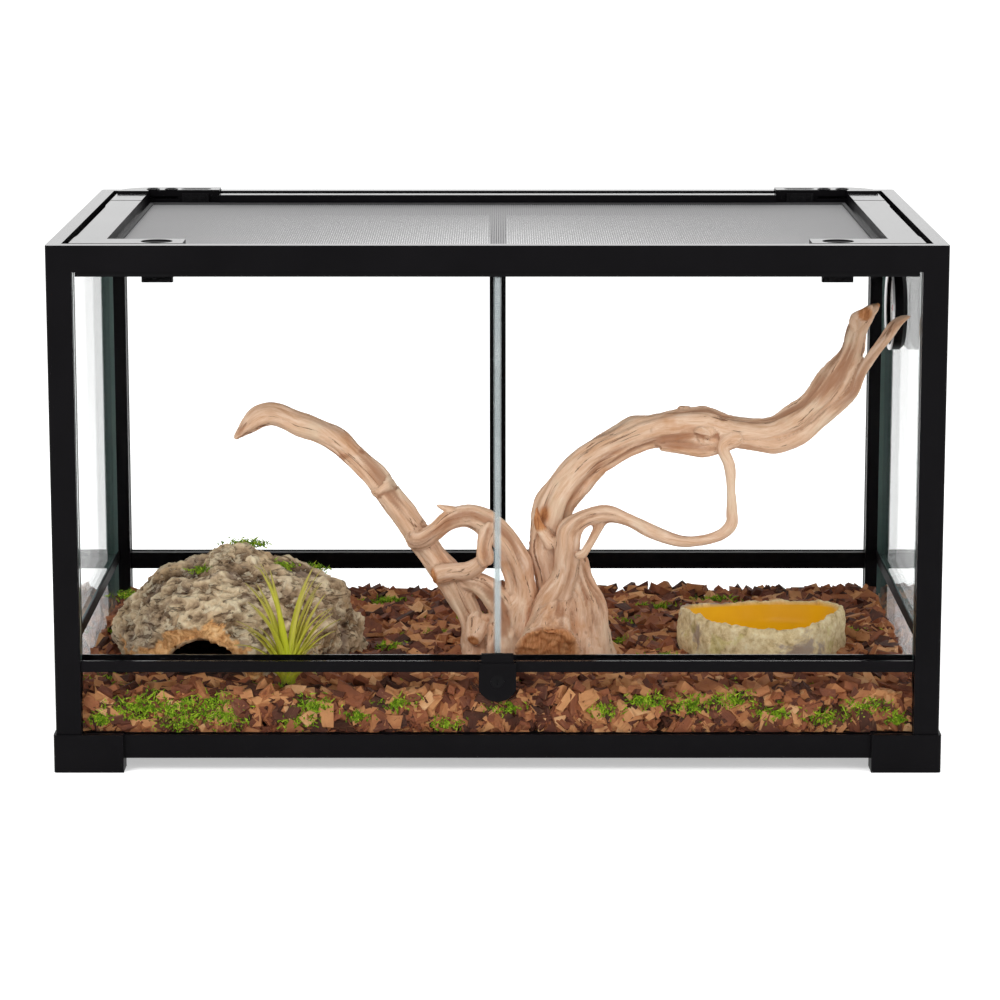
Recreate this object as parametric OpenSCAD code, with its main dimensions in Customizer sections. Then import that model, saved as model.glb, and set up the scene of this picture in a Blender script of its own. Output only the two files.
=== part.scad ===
// Reptile terrarium: a knock-down glass case with two sliding front doors, a hinged mesh lid
// and the furnishings that it holds. X runs to the right, Y to the rear and Z up.
// The origin is on the ground, under the middle of the case.

/* [Case] */
// Width over the corner posts
body_w = 758; // [740:1:900]
// Depth over the corner posts
body_d = 453; // [440:1:560]
// Height of the top rails above the ground
body_h = 455; // [440:1:600]

/* [Frame] */
// Width of the square corner posts
post_w = 22; // [21:0.5:26]
// Rounding of the posts' outer edge
post_r = 3; // [1:0.5:4]
// Side of the square bore along each post
post_bore = 8.4; // [6:0.1:9]
// Wall between the outside of a post and its bore
post_wall = 4.3; // [3:0.1:5]
// Height of the front and rear top rails
top_rail_h = 22.5; // [20:0.5:30]
// Width of the flat along the top of each top rail
top_flat_w = 12.5; // [12:0.25:14]
// Height of the ledge that carries the lid, measured from the underside of the rail
ledge_h = 6; // [5.6:0.1:8]
// Height of the corner blocks above the posts
corner_h = 24.5; // [23:0.5:30]
// Height of the underside of the middle rails above the ground
mid_z = 87.7; // [85:0.1:100]
// Height of the rear middle rail
mid_rail_h = 15.6; // [14:0.1:20]
// Height of the joint between the lower and the upper posts
post_joint_z = 97.5; // [95:0.5:110]
// Height of the underside of the base rails above the ground
base_z = 11.9; // [8:0.1:14]
// Height of the base rails
base_rail_h = 20.4; // [18:0.1:24]
// How far the rails lie behind the faces of the posts
rail_setback = 3; // [3:0.1:3.4]
// Depth of the base rails and of the rear middle rail, front to back
rail_d = 16; // [15:0.5:18]
// Width of the strut in the middle of the back
rear_strut_w = 15.5; // [14:0.5:20]
// Depth of the strut in the middle of the back
rear_strut_d = 12; // [10:0.5:14]
// Side of the square tongue at the end of each rail
tongue_w = 7.5; // [6:0.5:8]
// Length of the tongues and of the post plugs
tongue_l = 10; // [6:0.5:12]

/* [Feet] */
// Height of the feet
foot_h = 33.2; // [32.5:0.1:36]
// Length of each leg of a foot, measured along the rail
foot_l = 60; // [45:1:80]
// How far the feet stand out beyond the posts
foot_proud = 2; // [1.6:0.1:3]
// Depth of the hollow under each foot
foot_hollow = 8; // [4:0.5:10]

/* [Glass] */
// Thickness of the fixed panes
pane_t = 4; // [3.5:0.1:4.1]
// Distance from the outside of the posts to the outer face of a pane
pane_offset = 6.5; // [6.4:0.1:6.6]
// Depth of the grooves that hold the panes
groove_depth = 5.5; // [4:0.1:5.8]
// Depth of the groove under the door sill
sill_groove = 4.3; // [3:0.1:4.6]
// Thickness of the floor panel
floor_t = 4; // [3:0.1:4.2]
// Height of the underside of the floor panel above the ground
floor_z = 15; // [14.8:0.1:16]
// Distance from the outside of the posts to the edge of the floor panel
floor_inset = 14; // [13.5:0.1:15]
// Clearance round the panes and tongues
fit_gap = 0.15; // [0.1:0.05:0.25]
// Height of the strips that join the lower and the upper side panes
strip_h = 10; // [8:0.5:14]
// Wall of those strips
strip_wall = 1.2; // [0.8:0.1:1.6]

/* [Doors] */
// Thickness of the door glass
door_t = 4; // [3.8:0.1:4.4]
// Width of each door channel
channel_w = 5; // [4.8:0.1:5.4]
// Wall of the sill and of the upper track
lip_t = 1.5; // [1.4:0.1:1.6]
// Depth of the sill's channels behind the front lip
sill_depth = 3.5; // [3:0.1:4]
// How far the sill's rear lip stands above its front lip
rear_lip_rise = 2.5; // [1:0.1:5]
// Height of the front lip above the ground
front_lip_z = 97.5; // [96.8:0.1:105]
// How far the upper track hangs below the top rail
track_drop = 4.2; // [3:0.1:5]
// Depth of the upper track let into the top rail
track_let_in = 4; // [3.6:0.1:4.2]
// Room above the closed doors, which lets them be lifted out
lift_room = 3.8; // [3.6:0.1:4]
// How far the doors overlap at the middle
door_overlap = 4; // [3:0.5:12]
// Gap between a closed door and its post
door_side_gap = 0.5; // [0.3:0.1:1.5]
// Wall of the clear strips on the doors' meeting edges
edge_wall = 1.1; // [0.8:0.05:1.1]
// How far those strips reach over the glass
edge_reach = 4; // [3:0.5:8]

/* [Lock] */
// Width of the lock plate
lock_w = 32; // [28:0.5:36]
// Radius of the rounded bottom of the lock plate
lock_r = 17.5; // [17:0.5:20]
// Height of the lowest point of the lock plate above the ground
lock_z = 62.8; // [60:0.1:64]
// Width of the tab above the lock plate
lock_tab_w = 27.6; // [24:0.2:28]
// Height of the tab above the front lip
lock_tab_h = 7; // [5:0.5:9]
// Radius of the lock barrel
barrel_r = 5.7; // [5.2:0.1:6]
// Height of the barrel's centre above the lock plate's lowest point
barrel_rise = 17.6; // [16.5:0.1:19]
// Distance of the driving pin from the barrel's centre
crank_r = 3; // [2.5:0.1:3.2]
// Radius of the driving pin
crank_pin_r = 0.9; // [0.7:0.1:1]
// Width of the bolt's blade
bolt_w = 8; // [6:0.5:9]
// Thickness of the bolt
bolt_t = 1.8; // [1.4:0.1:1.8]

/* [Lid] */
// Gap between the top rails' flat and the lid
lid_gap = 5.5; // [4.5:0.1:6]
// Width of the bands along the sides of the lid
band_w = 29; // [26:0.5:34]
// Length of the side bands
band_l = 337; // [300:1:337]
// How far the lid's top lies below the top of the rails
lid_drop = 0.2; // [0:0.1:1]
// Width of the flange that holds the mesh
flange_w = 6; // [5:0.5:8]
// Height of that flange
flange_h = 7.3; // [6.5:0.1:8]
// Height of the mesh above the lid's underside
mesh_rise = 4.5; // [3.5:0.1:5]
// Thickness of the mesh
mesh_t = 1.2; // [0.8:0.1:1.4]
// Depth of the long curved relief along each side band
relief_depth = 1.2; // [0.6:0.1:2]
// Length of that relief
relief_l = 255; // [150:5:300]
// Width of that relief at its middle
relief_w = 6; // [3:0.5:9]
// Radius of the hinge pins
hinge_pin_r = 2.5; // [2:0.1:2.6]
// Length of the hinge pins
hinge_pin_l = 4.4; // [3:0.1:4.5]
// Running clearance round pins and shafts
running_gap = 0.06; // [0.02:0.01:0.09]

/* [Latches] */
// Distance from the side of the lid to a latch
latch_inset = 73; // [60:1:78]
// Distance from the front of the lid to a latch
latch_set = 15; // [14.5:0.1:16]
// Radius of the knob's disc
knob_r = 13; // [11:0.5:13.5]
// Depth of the recess round the knob
knob_recess = 5.2; // [4:0.1:6]
// Radius of the knob's shaft
shaft_r = 4; // [3:0.1:4.5]
// Length of the cam below the lid
cam_l = 27; // [24:0.5:28]
// Width of the cam
cam_w = 9; // [8:0.5:11]
// Height of the cam
cam_h = 11.5; // [8:0.5:12]
// Length and depth of the ledges round the knobs
knob_ledge = [67, 32];

/* [Cable ports] */
// Length of a port housing along the back, without the width of a side band
port_l = 67; // [64:1:80]
// Depth of a port housing below its cap, front to back
port_d = 16.7; // [16:0.1:16.9]
// Thickness of the cap over the rear rail
port_cap_t = 2.3; // [1.5:0.1:3]
// Rounding of the housing's outer corner
port_corner_r = 34; // [20:1:36]
// Radius of the round cable ports
port_r = 5.2; // [4:0.1:5.3]
// Length of the long cable port
port_slot_l = 29; // [24:1:29]
// Thickness of the sliding gate
gate_t = 2; // [1.6:0.1:2.1]
// Length of the sliding gate
gate_l = 34; // [31:1:34]
// Travel of the sliding gate
gate_travel = 31; // [24:1:31]
// Height of the gate above the ledge that the lid rests on
gate_rise = 10.7; // [10:0.1:11]
// Distance between the two round cable ports
round_pitch = 17.3; // [16:0.1:17.5]

/* [Gauge] */
// Radius of the climate gauge
gauge_r = 38.5; // [34:0.5:40]
// Depth of the gauge, without its bezel
gauge_d = 11.5; // [10:0.5:14]
// Distance of the gauge's centre from the front of the case
gauge_s = 246; // [220:1:260]
// Distance of the gauge's centre below the top of the case
gauge_drop = 86; // [80:1:115]

/* [Furnishings] */
// Depth of the bark-chip bed above the floor panel
bed_h = 41; // [36:1:44]
// Height of the chips' bumps above the bed's lowest spots
bump_h = 10; // [0:0.5:11]
// Gap between a furnishing and what it stands on
seat_gap = 0.2; // [0.1:0.1:0.4]
// Distance from the left side of the case to the middle of the bark hide
hide_x = 143; // [140:1:148]
// Distance from the front of the case to the middle of the bark hide
hide_s = 174; // [172:1:200]
// Half the width, half the depth and the height of the bark hide
hide_size = [118, 98, 95];
// Distance from the right side of the case to the middle of the water dish
dish_x = 140; // [130:1:150]
// Distance from the front of the case to the middle of the water dish
dish_s = 192; // [180:1:210]
// Half the width, half the depth and the height of the water dish
dish_size = [75, 62, 38];
// Distance from the left side of the case to the air plant
plant_x = 194; // [185:1:200]
// Distance from the front of the case to the air plant
plant_s = 56; // [48:1:60]
// Length of the air plant's longest leaf
leaf_l = 118; // [90:1:125]
// Height of the air plant above the chips
plant_h = 112; // [80:1:125]

/* [Hidden] */
$fn = 64;
// A cut runs this far past the surface that it opens
over = 1;
left = -body_w / 2;
front = -body_d / 2;
rear = body_d / 2;

// Heights
rail_bottom = body_h - top_rail_h;
ledge_z = rail_bottom + ledge_h;
corner_z = body_h - corner_h;
base_top = base_z + base_rail_h;
channel_z = front_lip_z - sill_depth;
rear_lip_z = front_lip_z + rear_lip_rise;
mid_top = mid_z + mid_rail_h;
strip_z = front_lip_z + rear_lip_rise + 1;
track_bottom = rail_bottom - track_drop;
track_top = rail_bottom + track_let_in;
track_roof = 1.2;
track_channel_top = track_top - track_roof;
floor_top = floor_z + floor_t;
bed_z = floor_top + bed_h;
base_tongue_s = rail_setback + 1;
base_tongue_z = floor_top + 0.3;
top_tongue_s = 2.5;
top_tongue_z = ledge_z + 2.5;

// Panes: each is a lowest corner and a size
pane_inner = pane_offset + pane_t;
pane_low_z = base_top - groove_depth;
pane_side_top = ledge_z - 0.5;
web_t = 1.6;
across_w = body_w - 2 * post_w + 2 * groove_depth;
across_d = body_d - 2 * post_w + 2 * groove_depth;
half_rear_w = across_w / 2 - (rear_strut_w / 2 - groove_depth + 0.5);
lower_front_pane = [[-across_w / 2, front + pane_offset, pane_low_z], [across_w, pane_t, mid_z + sill_groove - pane_low_z]];
lower_rear_pane = [[-across_w / 2, rear - pane_inner, pane_low_z], [across_w, pane_t, mid_z + sill_groove - pane_low_z]];
upper_rear_pane = [
    [-across_w / 2, rear - pane_inner, mid_top - sill_groove],
    [half_rear_w, pane_t, pane_side_top - mid_top + sill_groove]
];
lower_side_pane = [[left + pane_offset, -across_d / 2, pane_low_z], [pane_t, across_d, strip_z - web_t / 2 - pane_low_z]];
upper_side_pane = [
    [left + pane_offset, -across_d / 2, strip_z + web_t / 2],
    [pane_t, across_d, pane_side_top - strip_z - web_t / 2]
];
floor_slab = [
    [left + floor_inset, front + floor_inset, floor_z],
    [body_w - 2 * floor_inset, body_d - 2 * floor_inset, floor_t]
];

// Doors: the left door runs in the front channel and the right door in the rear one
front_channel = rail_setback + lip_t;
rear_channel = front_channel + channel_w + lip_t;
sill_d = rear_channel + channel_w + lip_t;
glass_slack = (channel_w - door_t) / 2;
door_w = body_w / 2 - post_w - door_side_gap + door_overlap / 2;
door_low = channel_z + seat_gap;
door_h = track_channel_top - lift_room - door_low;
edge_low = rear_lip_z + 1;
edge_high = track_bottom - 1;
edge_web = 1.3;

// Lock
plate_front = foot_proud;
plate_back = rail_setback;
barrel_z = lock_z + barrel_rise;
lock_shoulder_z = front_lip_z - 1;
tab_top = front_lip_z + lock_tab_h;
tab_proud = 1;
bolt_slack = 0.2;
barrel_recess = 0.3;
barrel_l = 2;
pin_drop = crank_r * sin(45);
bolt_front = plate_front - barrel_recess - barrel_l - bolt_slack;
bolt_foot_w = 13;
bolt_foot_h = 12;
bolt_low = barrel_z - pin_drop - 4;

// Lid
lid_half_w = body_w / 2 - top_flat_w - lid_gap;
lid_front = front + top_flat_w + lid_gap;
lid_low = ledge_z + seat_gap;
lid_top = body_h - lid_drop;
lid_h = lid_top - lid_low;
opening_half_w = lid_half_w - band_w;
flange_inner = opening_half_w - flange_w;
hinge_r = 7.5;
hinge_z = lid_low + hinge_r;
hinge_set = 23;
hinge_reach = 12;
hinge_y = rear - hinge_set;
lid_rear = hinge_y - hinge_reach;
end_gap = 0.8;
wall_gap = 0.3;
hinge_half_w = opening_half_w - port_l - end_gap;
flange_depth = 8;
side_gap = 0.3;
relief_r = (relief_l * relief_l / 4 + relief_w * relief_w) / (2 * relief_w);
spline_t = 3.2;
spline_h = 1.7;

// Latches
latch_x = lid_half_w - latch_inset;
latch_y = lid_front + latch_set;
knob_t = 2;
knob_z = lid_top - knob_recess + seat_gap;
grip_w = 5;
cam_low = rail_bottom - 0.8 - cam_h;
cam_bore_r = 3;
cam_nut_h = 1.5;

// Cable ports, in the left rear corner; the right ones are mirrored
rail_end_d = 10;
port_front = rear - rail_end_d - wall_gap - port_d;
port_left = -lid_half_w;
port_right = -opening_half_w + port_l;
leg_front = lid_front + band_l + 1;
cap_reach = 9;
gate_z = ledge_z + gate_rise;
gate_slack = 0.2;
gate_inset = 5.5;
gate_right = port_right - gate_inset;
port_set = 9;
port_y = port_front + port_set;
slot_x = gate_right - gate_l / 2;
round_gap = 23.7;
round_x = [slot_x - round_gap - round_pitch, slot_x - round_gap];
ring_w = 1.1;
ring_h = 0.6;
grip_l = 25;
grip_h = 7.8;
grip_reach = 4.8;
grip_y = port_front - grip_reach;

// Gauge, on the right side pane
gauge_back = body_w / 2 - pane_inner - 0.3;
gauge_y = front + gauge_s;
gauge_z = body_h - gauge_drop;
bezel_w = 5.5;
bezel_h = 2;
chamfer = 4;

// Colours
black = [0.09, 0.09, 0.1];
soft_black = [0.14, 0.14, 0.15];
clear_glass = [0.8, 0.9, 0.9, 0.25];
mesh_grey = [0.42, 0.42, 0.44];
silver = [0.78, 0.79, 0.8];
wood_tan = [0.72, 0.55, 0.38];
bark_brown = [0.5, 0.29, 0.18];
cork_grey = [0.52, 0.44, 0.36];
stone_khaki = [0.66, 0.63, 0.52];
leaf_green = [0.62, 0.69, 0.33];

bulb_r = 9;
// Width of the level bed round each furnishing
pad_margin = 26;

// Furnishings' routes: [distance right of the middle, distance from the front, height above the bed, radius]
left_stem = [
    [-236, 185, 200, 5], [-224, 184, 214, 9], [-204, 182, 225, 11.5], [-174, 180, 220, 12], [-142, 178, 196, 12.5],
    [-107, 176, 158, 13.5], [-72, 174, 113, 14.5], [-45, 172, 77, 15.5], [-28, 170, 40, 17], [-20, 168, -10, 21]
];
left_arch = [
    [-66, 176, 106, 8], [-48, 172, 127, 10], [-24, 166, 136, 11.5], [-1, 162, 128, 11.5],
    [11, 164, 102, 12.5], [16, 166, 68, 14], [17, 168, 36, 15], [15, 170, -10, 18]
];
left_stub = [[-28, 170, 50, 12], [-43, 158, 74, 12.5], [-56, 148, 82, 11.5]];
right_stem = [
    [78, 176, -10, 28], [68, 172, 40, 20], [52, 170, 74, 16], [43, 168, 106, 15], [51, 164, 140, 17], [73, 160, 172, 16],
    [108, 156, 200, 15], [144, 152, 217, 14], [179, 148, 223, 13], [214, 142, 212, 12.5], [254, 136, 215, 13],
    [286, 130, 236, 13], [306, 124, 272, 12], [317, 118, 303, 9.5], [329, 114, 330, 4]
];
right_twig = [
    [232, 139, 207, 7], [266, 127, 223, 5.7], [299, 114, 254, 5.3], [323, 108, 288, 5], [340, 106, 310, 4],
    [357, 104, 320, 2.2]
];
right_loop = [
    [193, 142, 217, 5], [205, 134, 194, 5.3], [210, 128, 164, 5.3], [204, 124, 135, 5.7], [182, 124, 119, 5.3],
    [152, 128, 121, 5.3], [121, 136, 131, 5.5], [95, 146, 137, 7], [77, 154, 125, 10.5], [70, 160, 98, 14],
    [70, 166, 56, 17], [80, 170, 18, 18]
];
right_spike = [[52, 164, 82, 9], [38, 156, 110, 7], [33, 152, 134, 4], [36, 150, 146, 1.5]];
right_root = [[66, 160, 40, 15], [54, 146, 18, 15], [48, 136, -8, 16]];

function front_y(s) = front + s;
function unit(v) = v / norm(v);
function flatten(lists) = [for (list = lists) each list];
// A repeatable value from -1 to 1 for a pair of numbers
function scatter(a, b) =
    let (s = sin(a * 127.1 + b * 311.7) * 43758.5453)
    2 * (s - floor(s)) - 1;

// A point on the smooth curve between b and c, with a before and d after them
function curve_point(a, b, c, d, t) =
    0.5 * (2 * b + (c - a) * t + (2 * a - 5 * b + 4 * c - d) * t * t + (3 * b - a - 3 * c + d) * t * t * t);
function smooth(route, steps) = [
    for (i = [0:len(route) - 2])
        for (j = [0:steps - 1])
            curve_point(route[max(i - 1, 0)], route[i], route[i + 1], route[min(i + 2, len(route) - 1)], j / steps),
    route[len(route) - 1]
];
// A route's point in the case: its place, and its radius as a fourth value
function placed(route) = [for (p = route) [p[0], front_y(p[1]), bed_z + p[2], p[3]]];
function place(p) = [p[0], p[1], p[2]];
function heading(points, i) = unit(place(points[min(i + 1, len(points) - 1)]) - place(points[max(i - 1, 0)]));
// Rings of sides points round a route; flat is the section's thickness over its width
function tube_rings(points, sides, flat, rough, across) = [
    for (i = [0:len(points) - 1])
        let (
            along = heading(points, i),
            u = unit(cross(across, along)),
            v = cross(along, u)
        )
        [
            for (k = [0:sides - 1])
                let (
                    a = 360 * k / sides,
                    r = points[i][3] * (1 + rough * (0.6 * sin(3 * a + 37 * i) + 0.4 * scatter(i, k)))
                )
                place(points[i]) + r * (cos(a) * v + flat * sin(a) * u)
        ]
];

// Joins closed rings of equal length to one solid with flat ends; each ring runs clockwise, seen from the last one
module loft(rings) {
    n = len(rings[0]);
    last = len(rings) - 1;
    sides = [
        for (i = [0:last - 1])
            for (k = [0:n - 1])
                let (a = i * n + k, b = i * n + (k + 1) % n)
                each [[a, b, a + n], [b, b + n, a + n]]
    ];
    ends = [[for (k = [n - 1:-1:0]) k], [for (k = [0:n - 1]) last * n + k]];
    polyhedron(points = flatten(rings), faces = concat(sides, ends));
}

module branch(route, sides = 9, steps = 3, rough = 0.12)
    loft(tube_rings(smooth(placed(route), steps), sides, 1, rough, [0, 1, 0]));

// A box from its lowest corner and size, grown by a gap all round
module slab(box, grow = 0)
    translate(box[0] - [grow, grow, grow])
        cube(box[1] + 2 * [grow, grow, grow]);

module on_both_sides() {
    children();
    mirror([1, 0, 0])
        children();
}

module front_and_rear() {
    children();
    mirror([0, 1, 0])
        children();
}

module to_corner(is_right, is_rear)
    mirror([is_right ? 1 : 0, 0, 0])
        mirror([0, is_rear ? 1 : 0, 0])
            children();

// The room that the fixed panes and the floor panel take in the frame round them
module pane_room() {
    slab(lower_front_pane, fit_gap);
    slab(lower_rear_pane, fit_gap);
    slab(floor_slab, fit_gap);
    on_both_sides() {
        slab(lower_side_pane, fit_gap);
        slab(upper_side_pane, fit_gap);
        slab(upper_rear_pane, fit_gap);
    }
}

// Front left corner post, from one height to another
module post(low, high) {
    difference() {
        translate([left, front, low])
            linear_extrude(high - low)
                union() {
                    translate([post_r, 0])
                        square([post_w - post_r, post_w]);
                    translate([0, post_r])
                        square([post_w, post_w - post_r]);
                    translate([post_r, post_r])
                        circle(post_r);
                }
        translate([left + post_wall, front + post_wall, low - over])
            cube([post_bore, post_bore, high - low + 2 * over]);
    }
}

// A plug that fills the end of a post's bore, less the clearance
module post_plug(low, high)
    translate([left + post_wall + fit_gap, front + post_wall + fit_gap, low])
        cube([post_bore - 2 * fit_gap, post_bore - 2 * fit_gap, high - low]);

module lower_post(is_right, is_rear)
    color(black)
        difference() {
            to_corner(is_right, is_rear)
                union() {
                    post(foot_h, post_joint_z - tongue_l);
                    post_block(post_joint_z - tongue_l, post_joint_z);
                    post_plug(post_joint_z - over, post_joint_z + tongue_l);
                }
            pane_room();
        }

module upper_post(is_right, is_rear)
    color(black)
        difference() {
            to_corner(is_right, is_rear)
                post(post_joint_z, corner_z);
            pane_room();
        }

// The L-shaped foot wraps the corner of the base and carries the post
module foot(is_right, is_rear) {
    leg = post_w + foot_proud;
    reach = foot_l - foot_proud;
    inner = foot_l - leg;
    color(black)
        difference() {
            to_corner(is_right, is_rear)
                difference() {
                    union() {
                        translate([left - foot_proud, front - foot_proud, 0])
                            linear_extrude(foot_h)
                                difference() {
                                    foot_outline();
                                    translate([leg, leg])
                                        square(inner + over);
                                }
                        post_plug(foot_h - over, foot_h + tongue_l);
                    }
                    translate([left, front, 0]) {
                        foot_cuts(reach);
                        mirror([1, -1, 0])
                            foot_cuts(reach);
                    }
                }
            pane_room();
        }
}

module foot_outline()
    union() {
        translate([post_r, 0])
            square([foot_l - post_r, foot_l]);
        translate([0, post_r])
            square([foot_l, foot_l - post_r]);
        translate([post_r, post_r])
            circle(post_r);
    }

// The socket for a rail's tongue and the hollow underneath, in the leg of a foot along X
module foot_cuts(reach) {
    hollow_wall = 3;
    translate([reach - tongue_l - fit_gap, base_tongue_s - fit_gap, base_tongue_z - fit_gap])
        cube([tongue_l + over + fit_gap, tongue_w + 2 * fit_gap, tongue_w + 2 * fit_gap]);
    translate([hollow_wall - foot_proud, hollow_wall - foot_proud, -over])
        cube([foot_l - 2 * hollow_wall, post_w + foot_proud - 2 * hollow_wall, foot_hollow + over]);
}

// A base rail with its tongues, along X, from the left end to the right end
module base_rail(half_l, edge) {
    translate([-half_l, edge + rail_setback, base_z])
        cube([2 * half_l, rail_d, base_rail_h]);
    translate([-half_l - tongue_l, edge + base_tongue_s, base_tongue_z])
        cube([2 * (half_l + tongue_l), tongue_w, tongue_w]);
}

module base_rails_long()
    color(black)
        difference() {
            front_and_rear()
                base_rail(body_w / 2 - foot_l + foot_proud, front);
            pane_room();
        }

module base_rails_side()
    color(black)
        difference() {
            on_both_sides()
                rotate([0, 0, -90])
                    base_rail(body_d / 2 - foot_l + foot_proud, left);
            pane_room();
        }

module floor_panel()
    color(soft_black)
        difference() {
            slab(floor_slab);
            for (is_right = [false, true])
                for (is_rear = [false, true])
                    to_corner(is_right, is_rear)
                        translate([left, front, floor_z - over])
                            cube([post_w, post_w, floor_t + 2 * over]);
        }

module lower_pane_front()
    color(clear_glass)
        slab(lower_front_pane);

module lower_pane_rear()
    color(clear_glass)
        slab(lower_rear_pane);

module lower_panes_side()
    color(clear_glass)
        on_both_sides()
            slab(lower_side_pane);

module rear_panes()
    color(clear_glass)
        on_both_sides()
            slab(upper_rear_pane);

module side_pane(is_right)
    color(clear_glass)
        mirror([is_right ? 1 : 0, 0, 0])
            slab(upper_side_pane);

// Section of the door sill: [distance from the front, height]
sill_section = [
    [rail_setback, mid_z],
    [rail_setback, front_lip_z],
    [front_channel, front_lip_z],
    [front_channel, channel_z],
    [front_channel + channel_w, channel_z],
    [front_channel + channel_w, front_lip_z],
    [rear_channel, front_lip_z],
    [rear_channel, channel_z],
    [rear_channel + channel_w, channel_z],
    [rear_channel + channel_w, rear_lip_z],
    [sill_d, rear_lip_z],
    [sill_d, mid_z]
];

// Section of the upper door track
track_section = [
    [rail_setback, track_bottom],
    [rail_setback, track_top],
    [sill_d, track_top],
    [sill_d, track_bottom],
    [rear_channel + channel_w, track_bottom],
    [rear_channel + channel_w, track_channel_top],
    [rear_channel, track_channel_top],
    [rear_channel, track_bottom],
    [front_channel + channel_w, track_bottom],
    [front_channel + channel_w, track_channel_top],
    [front_channel, track_channel_top],
    [front_channel, track_bottom]
];

// A profile of [distance from the front, height] points, drawn out along X about the middle
module along_front(section, length)
    translate([-length / 2, front, 0])
        rotate([90, 0, 90])
            linear_extrude(length)
                polygon(section);

module door_sill()
    color(black)
        difference() {
            along_front(sill_section, body_w - 2 * post_w);
            pane_room();
        }

module door_track() {
    track_end_gap = 2.5;
    color(soft_black)
        along_front(track_section, body_w - 2 * post_w - 2 * track_end_gap);
}

module mid_rail_rear()
    color(black)
        difference() {
            translate([left + post_w, rear - rail_setback - rail_d, mid_z])
                cube([body_w - 2 * post_w, rail_d, mid_rail_h]);
            pane_room();
        }

// The strips join the lower and the upper side panes edge to edge
module side_joint_strips() {
    outer = left + pane_offset - fit_gap - strip_wall;
    color(soft_black)
        on_both_sides()
            difference() {
                translate([outer, front + post_w, strip_z - strip_h / 2])
                    cube([pane_t + 2 * fit_gap + 2 * strip_wall, body_d - 2 * post_w, strip_h]);
                slab(lower_side_pane, fit_gap);
                slab(upper_side_pane, fit_gap);
            }
}

module rear_strut()
    color(black)
        difference() {
            translate([-rear_strut_w / 2, rear - rail_setback - rear_strut_d, mid_top])
                cube([rear_strut_w, rear_strut_d, rail_bottom - mid_top]);
            pane_room();
        }

// A top rail along X at the front edge: a flat with a ledge inside it, and a tongue at each end
module top_rail(half_l, edge) {
    translate([-half_l, edge, rail_bottom])
        cube([2 * half_l, post_w, ledge_h]);
    translate([-half_l, edge, rail_bottom])
        cube([2 * half_l, top_flat_w, top_rail_h]);
    translate([-half_l - tongue_l, edge + top_tongue_s, top_tongue_z])
        cube([2 * (half_l + tongue_l), tongue_w, tongue_w]);
}

module top_rail_front()
    color(black)
        difference() {
            top_rail(body_w / 2 - post_w, front);
            translate([left, front + rail_setback - fit_gap, rail_bottom - over])
                cube([body_w, sill_d - rail_setback + 2 * fit_gap, over + track_let_in + fit_gap]);
        }

// The rear rail runs between the port housings
module top_rail_rear()
    color(black)
        difference() {
            mirror([0, 1, 0])
                top_rail(hinge_half_w, front);
            pane_room();
        }

// Behind each port housing a thin end piece takes the rail's tongue and plugs into the corner block
module rear_rail_ends()
    color(black)
        difference() {
            mirror([0, 1, 0])
                on_both_sides()
                    rear_rail_end();
            pane_room();
        }

module rear_rail_end() {
    low_x = left + post_w;
    socket_w = tongue_w + 2 * fit_gap;
    difference() {
        translate([low_x, front, rail_bottom])
            cube([-hinge_half_w - low_x, rail_end_d, top_rail_h]);
        translate([-hinge_half_w - tongue_l - fit_gap, front + top_tongue_s - fit_gap, top_tongue_z - fit_gap])
            cube([tongue_l + fit_gap + over, socket_w + over, socket_w]);
    }
    translate([low_x - tongue_l, front + top_tongue_s, top_tongue_z])
        cube([tongue_l + over, tongue_w, tongue_w]);
}

module top_rail_side(is_right)
    color(black)
        difference() {
            mirror([is_right ? 1 : 0, 0, 0])
                rotate([0, 0, 90])
                    mirror([0, 1, 0])
                        top_rail(body_d / 2 - post_w, left);
            pane_room();
        }

// The corner blocks take the tongues of two rails and plug into the posts
module top_corner() {
    socket_z = top_tongue_z - fit_gap;
    socket_s = top_tongue_s - fit_gap;
    socket_w = tongue_w + 2 * fit_gap;
    difference() {
        post_block(corner_z, body_h);
        translate([left + top_flat_w, front + top_flat_w, ledge_z])
            cube([post_w, post_w, top_rail_h]);
        translate([left + post_w - tongue_l - fit_gap, front + socket_s, socket_z])
            cube([tongue_l + over, socket_w, socket_w]);
        translate([left + socket_s, front + post_w - tongue_l - fit_gap, socket_z])
            cube([socket_w, tongue_l + over, socket_w]);
    }
    post_plug(corner_z - tongue_l, corner_z);
}

// A solid length of post
module post_block(low, high)
    union() {
        post(low, high);
        translate([left + post_wall, front + post_wall, low])
            cube([post_bore, post_bore, high - low]);
    }

module top_corners()
    color(soft_black)
        difference() {
            front_and_rear()
                on_both_sides()
                    top_corner();
            pane_room();
        }

// A door's glass, from one side to the other, in the channel that starts at channel
module door_glass(low_x, channel)
    color(clear_glass)
        translate([low_x, front + channel + glass_slack, door_low])
            cube([door_w, door_t, door_h]);

module left_door_glass()
    door_glass(door_overlap / 2 - door_w, front_channel);

module right_door_glass()
    door_glass(-door_overlap / 2, rear_channel);

// A clear strip wraps the meeting edge of the left door's glass; the right door's is turned round
module door_strip(channel) {
    glass_front = channel + glass_slack;
    edge_x = door_overlap / 2;
    color([0.85, 0.88, 0.9, 0.5])
        translate([0, front, edge_low])
            linear_extrude(edge_high - edge_low)
                polygon([
                    [edge_x - edge_reach, glass_front - edge_wall],
                    [edge_x + edge_web, glass_front - edge_wall],
                    [edge_x + edge_web, glass_front + door_t + edge_wall],
                    [edge_x - edge_reach, glass_front + door_t + edge_wall],
                    [edge_x - edge_reach, glass_front + door_t],
                    [edge_x, glass_front + door_t],
                    [edge_x, glass_front],
                    [edge_x - edge_reach, glass_front]
                ]);
}

module left_door_strip()
    door_strip(front_channel);

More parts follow.
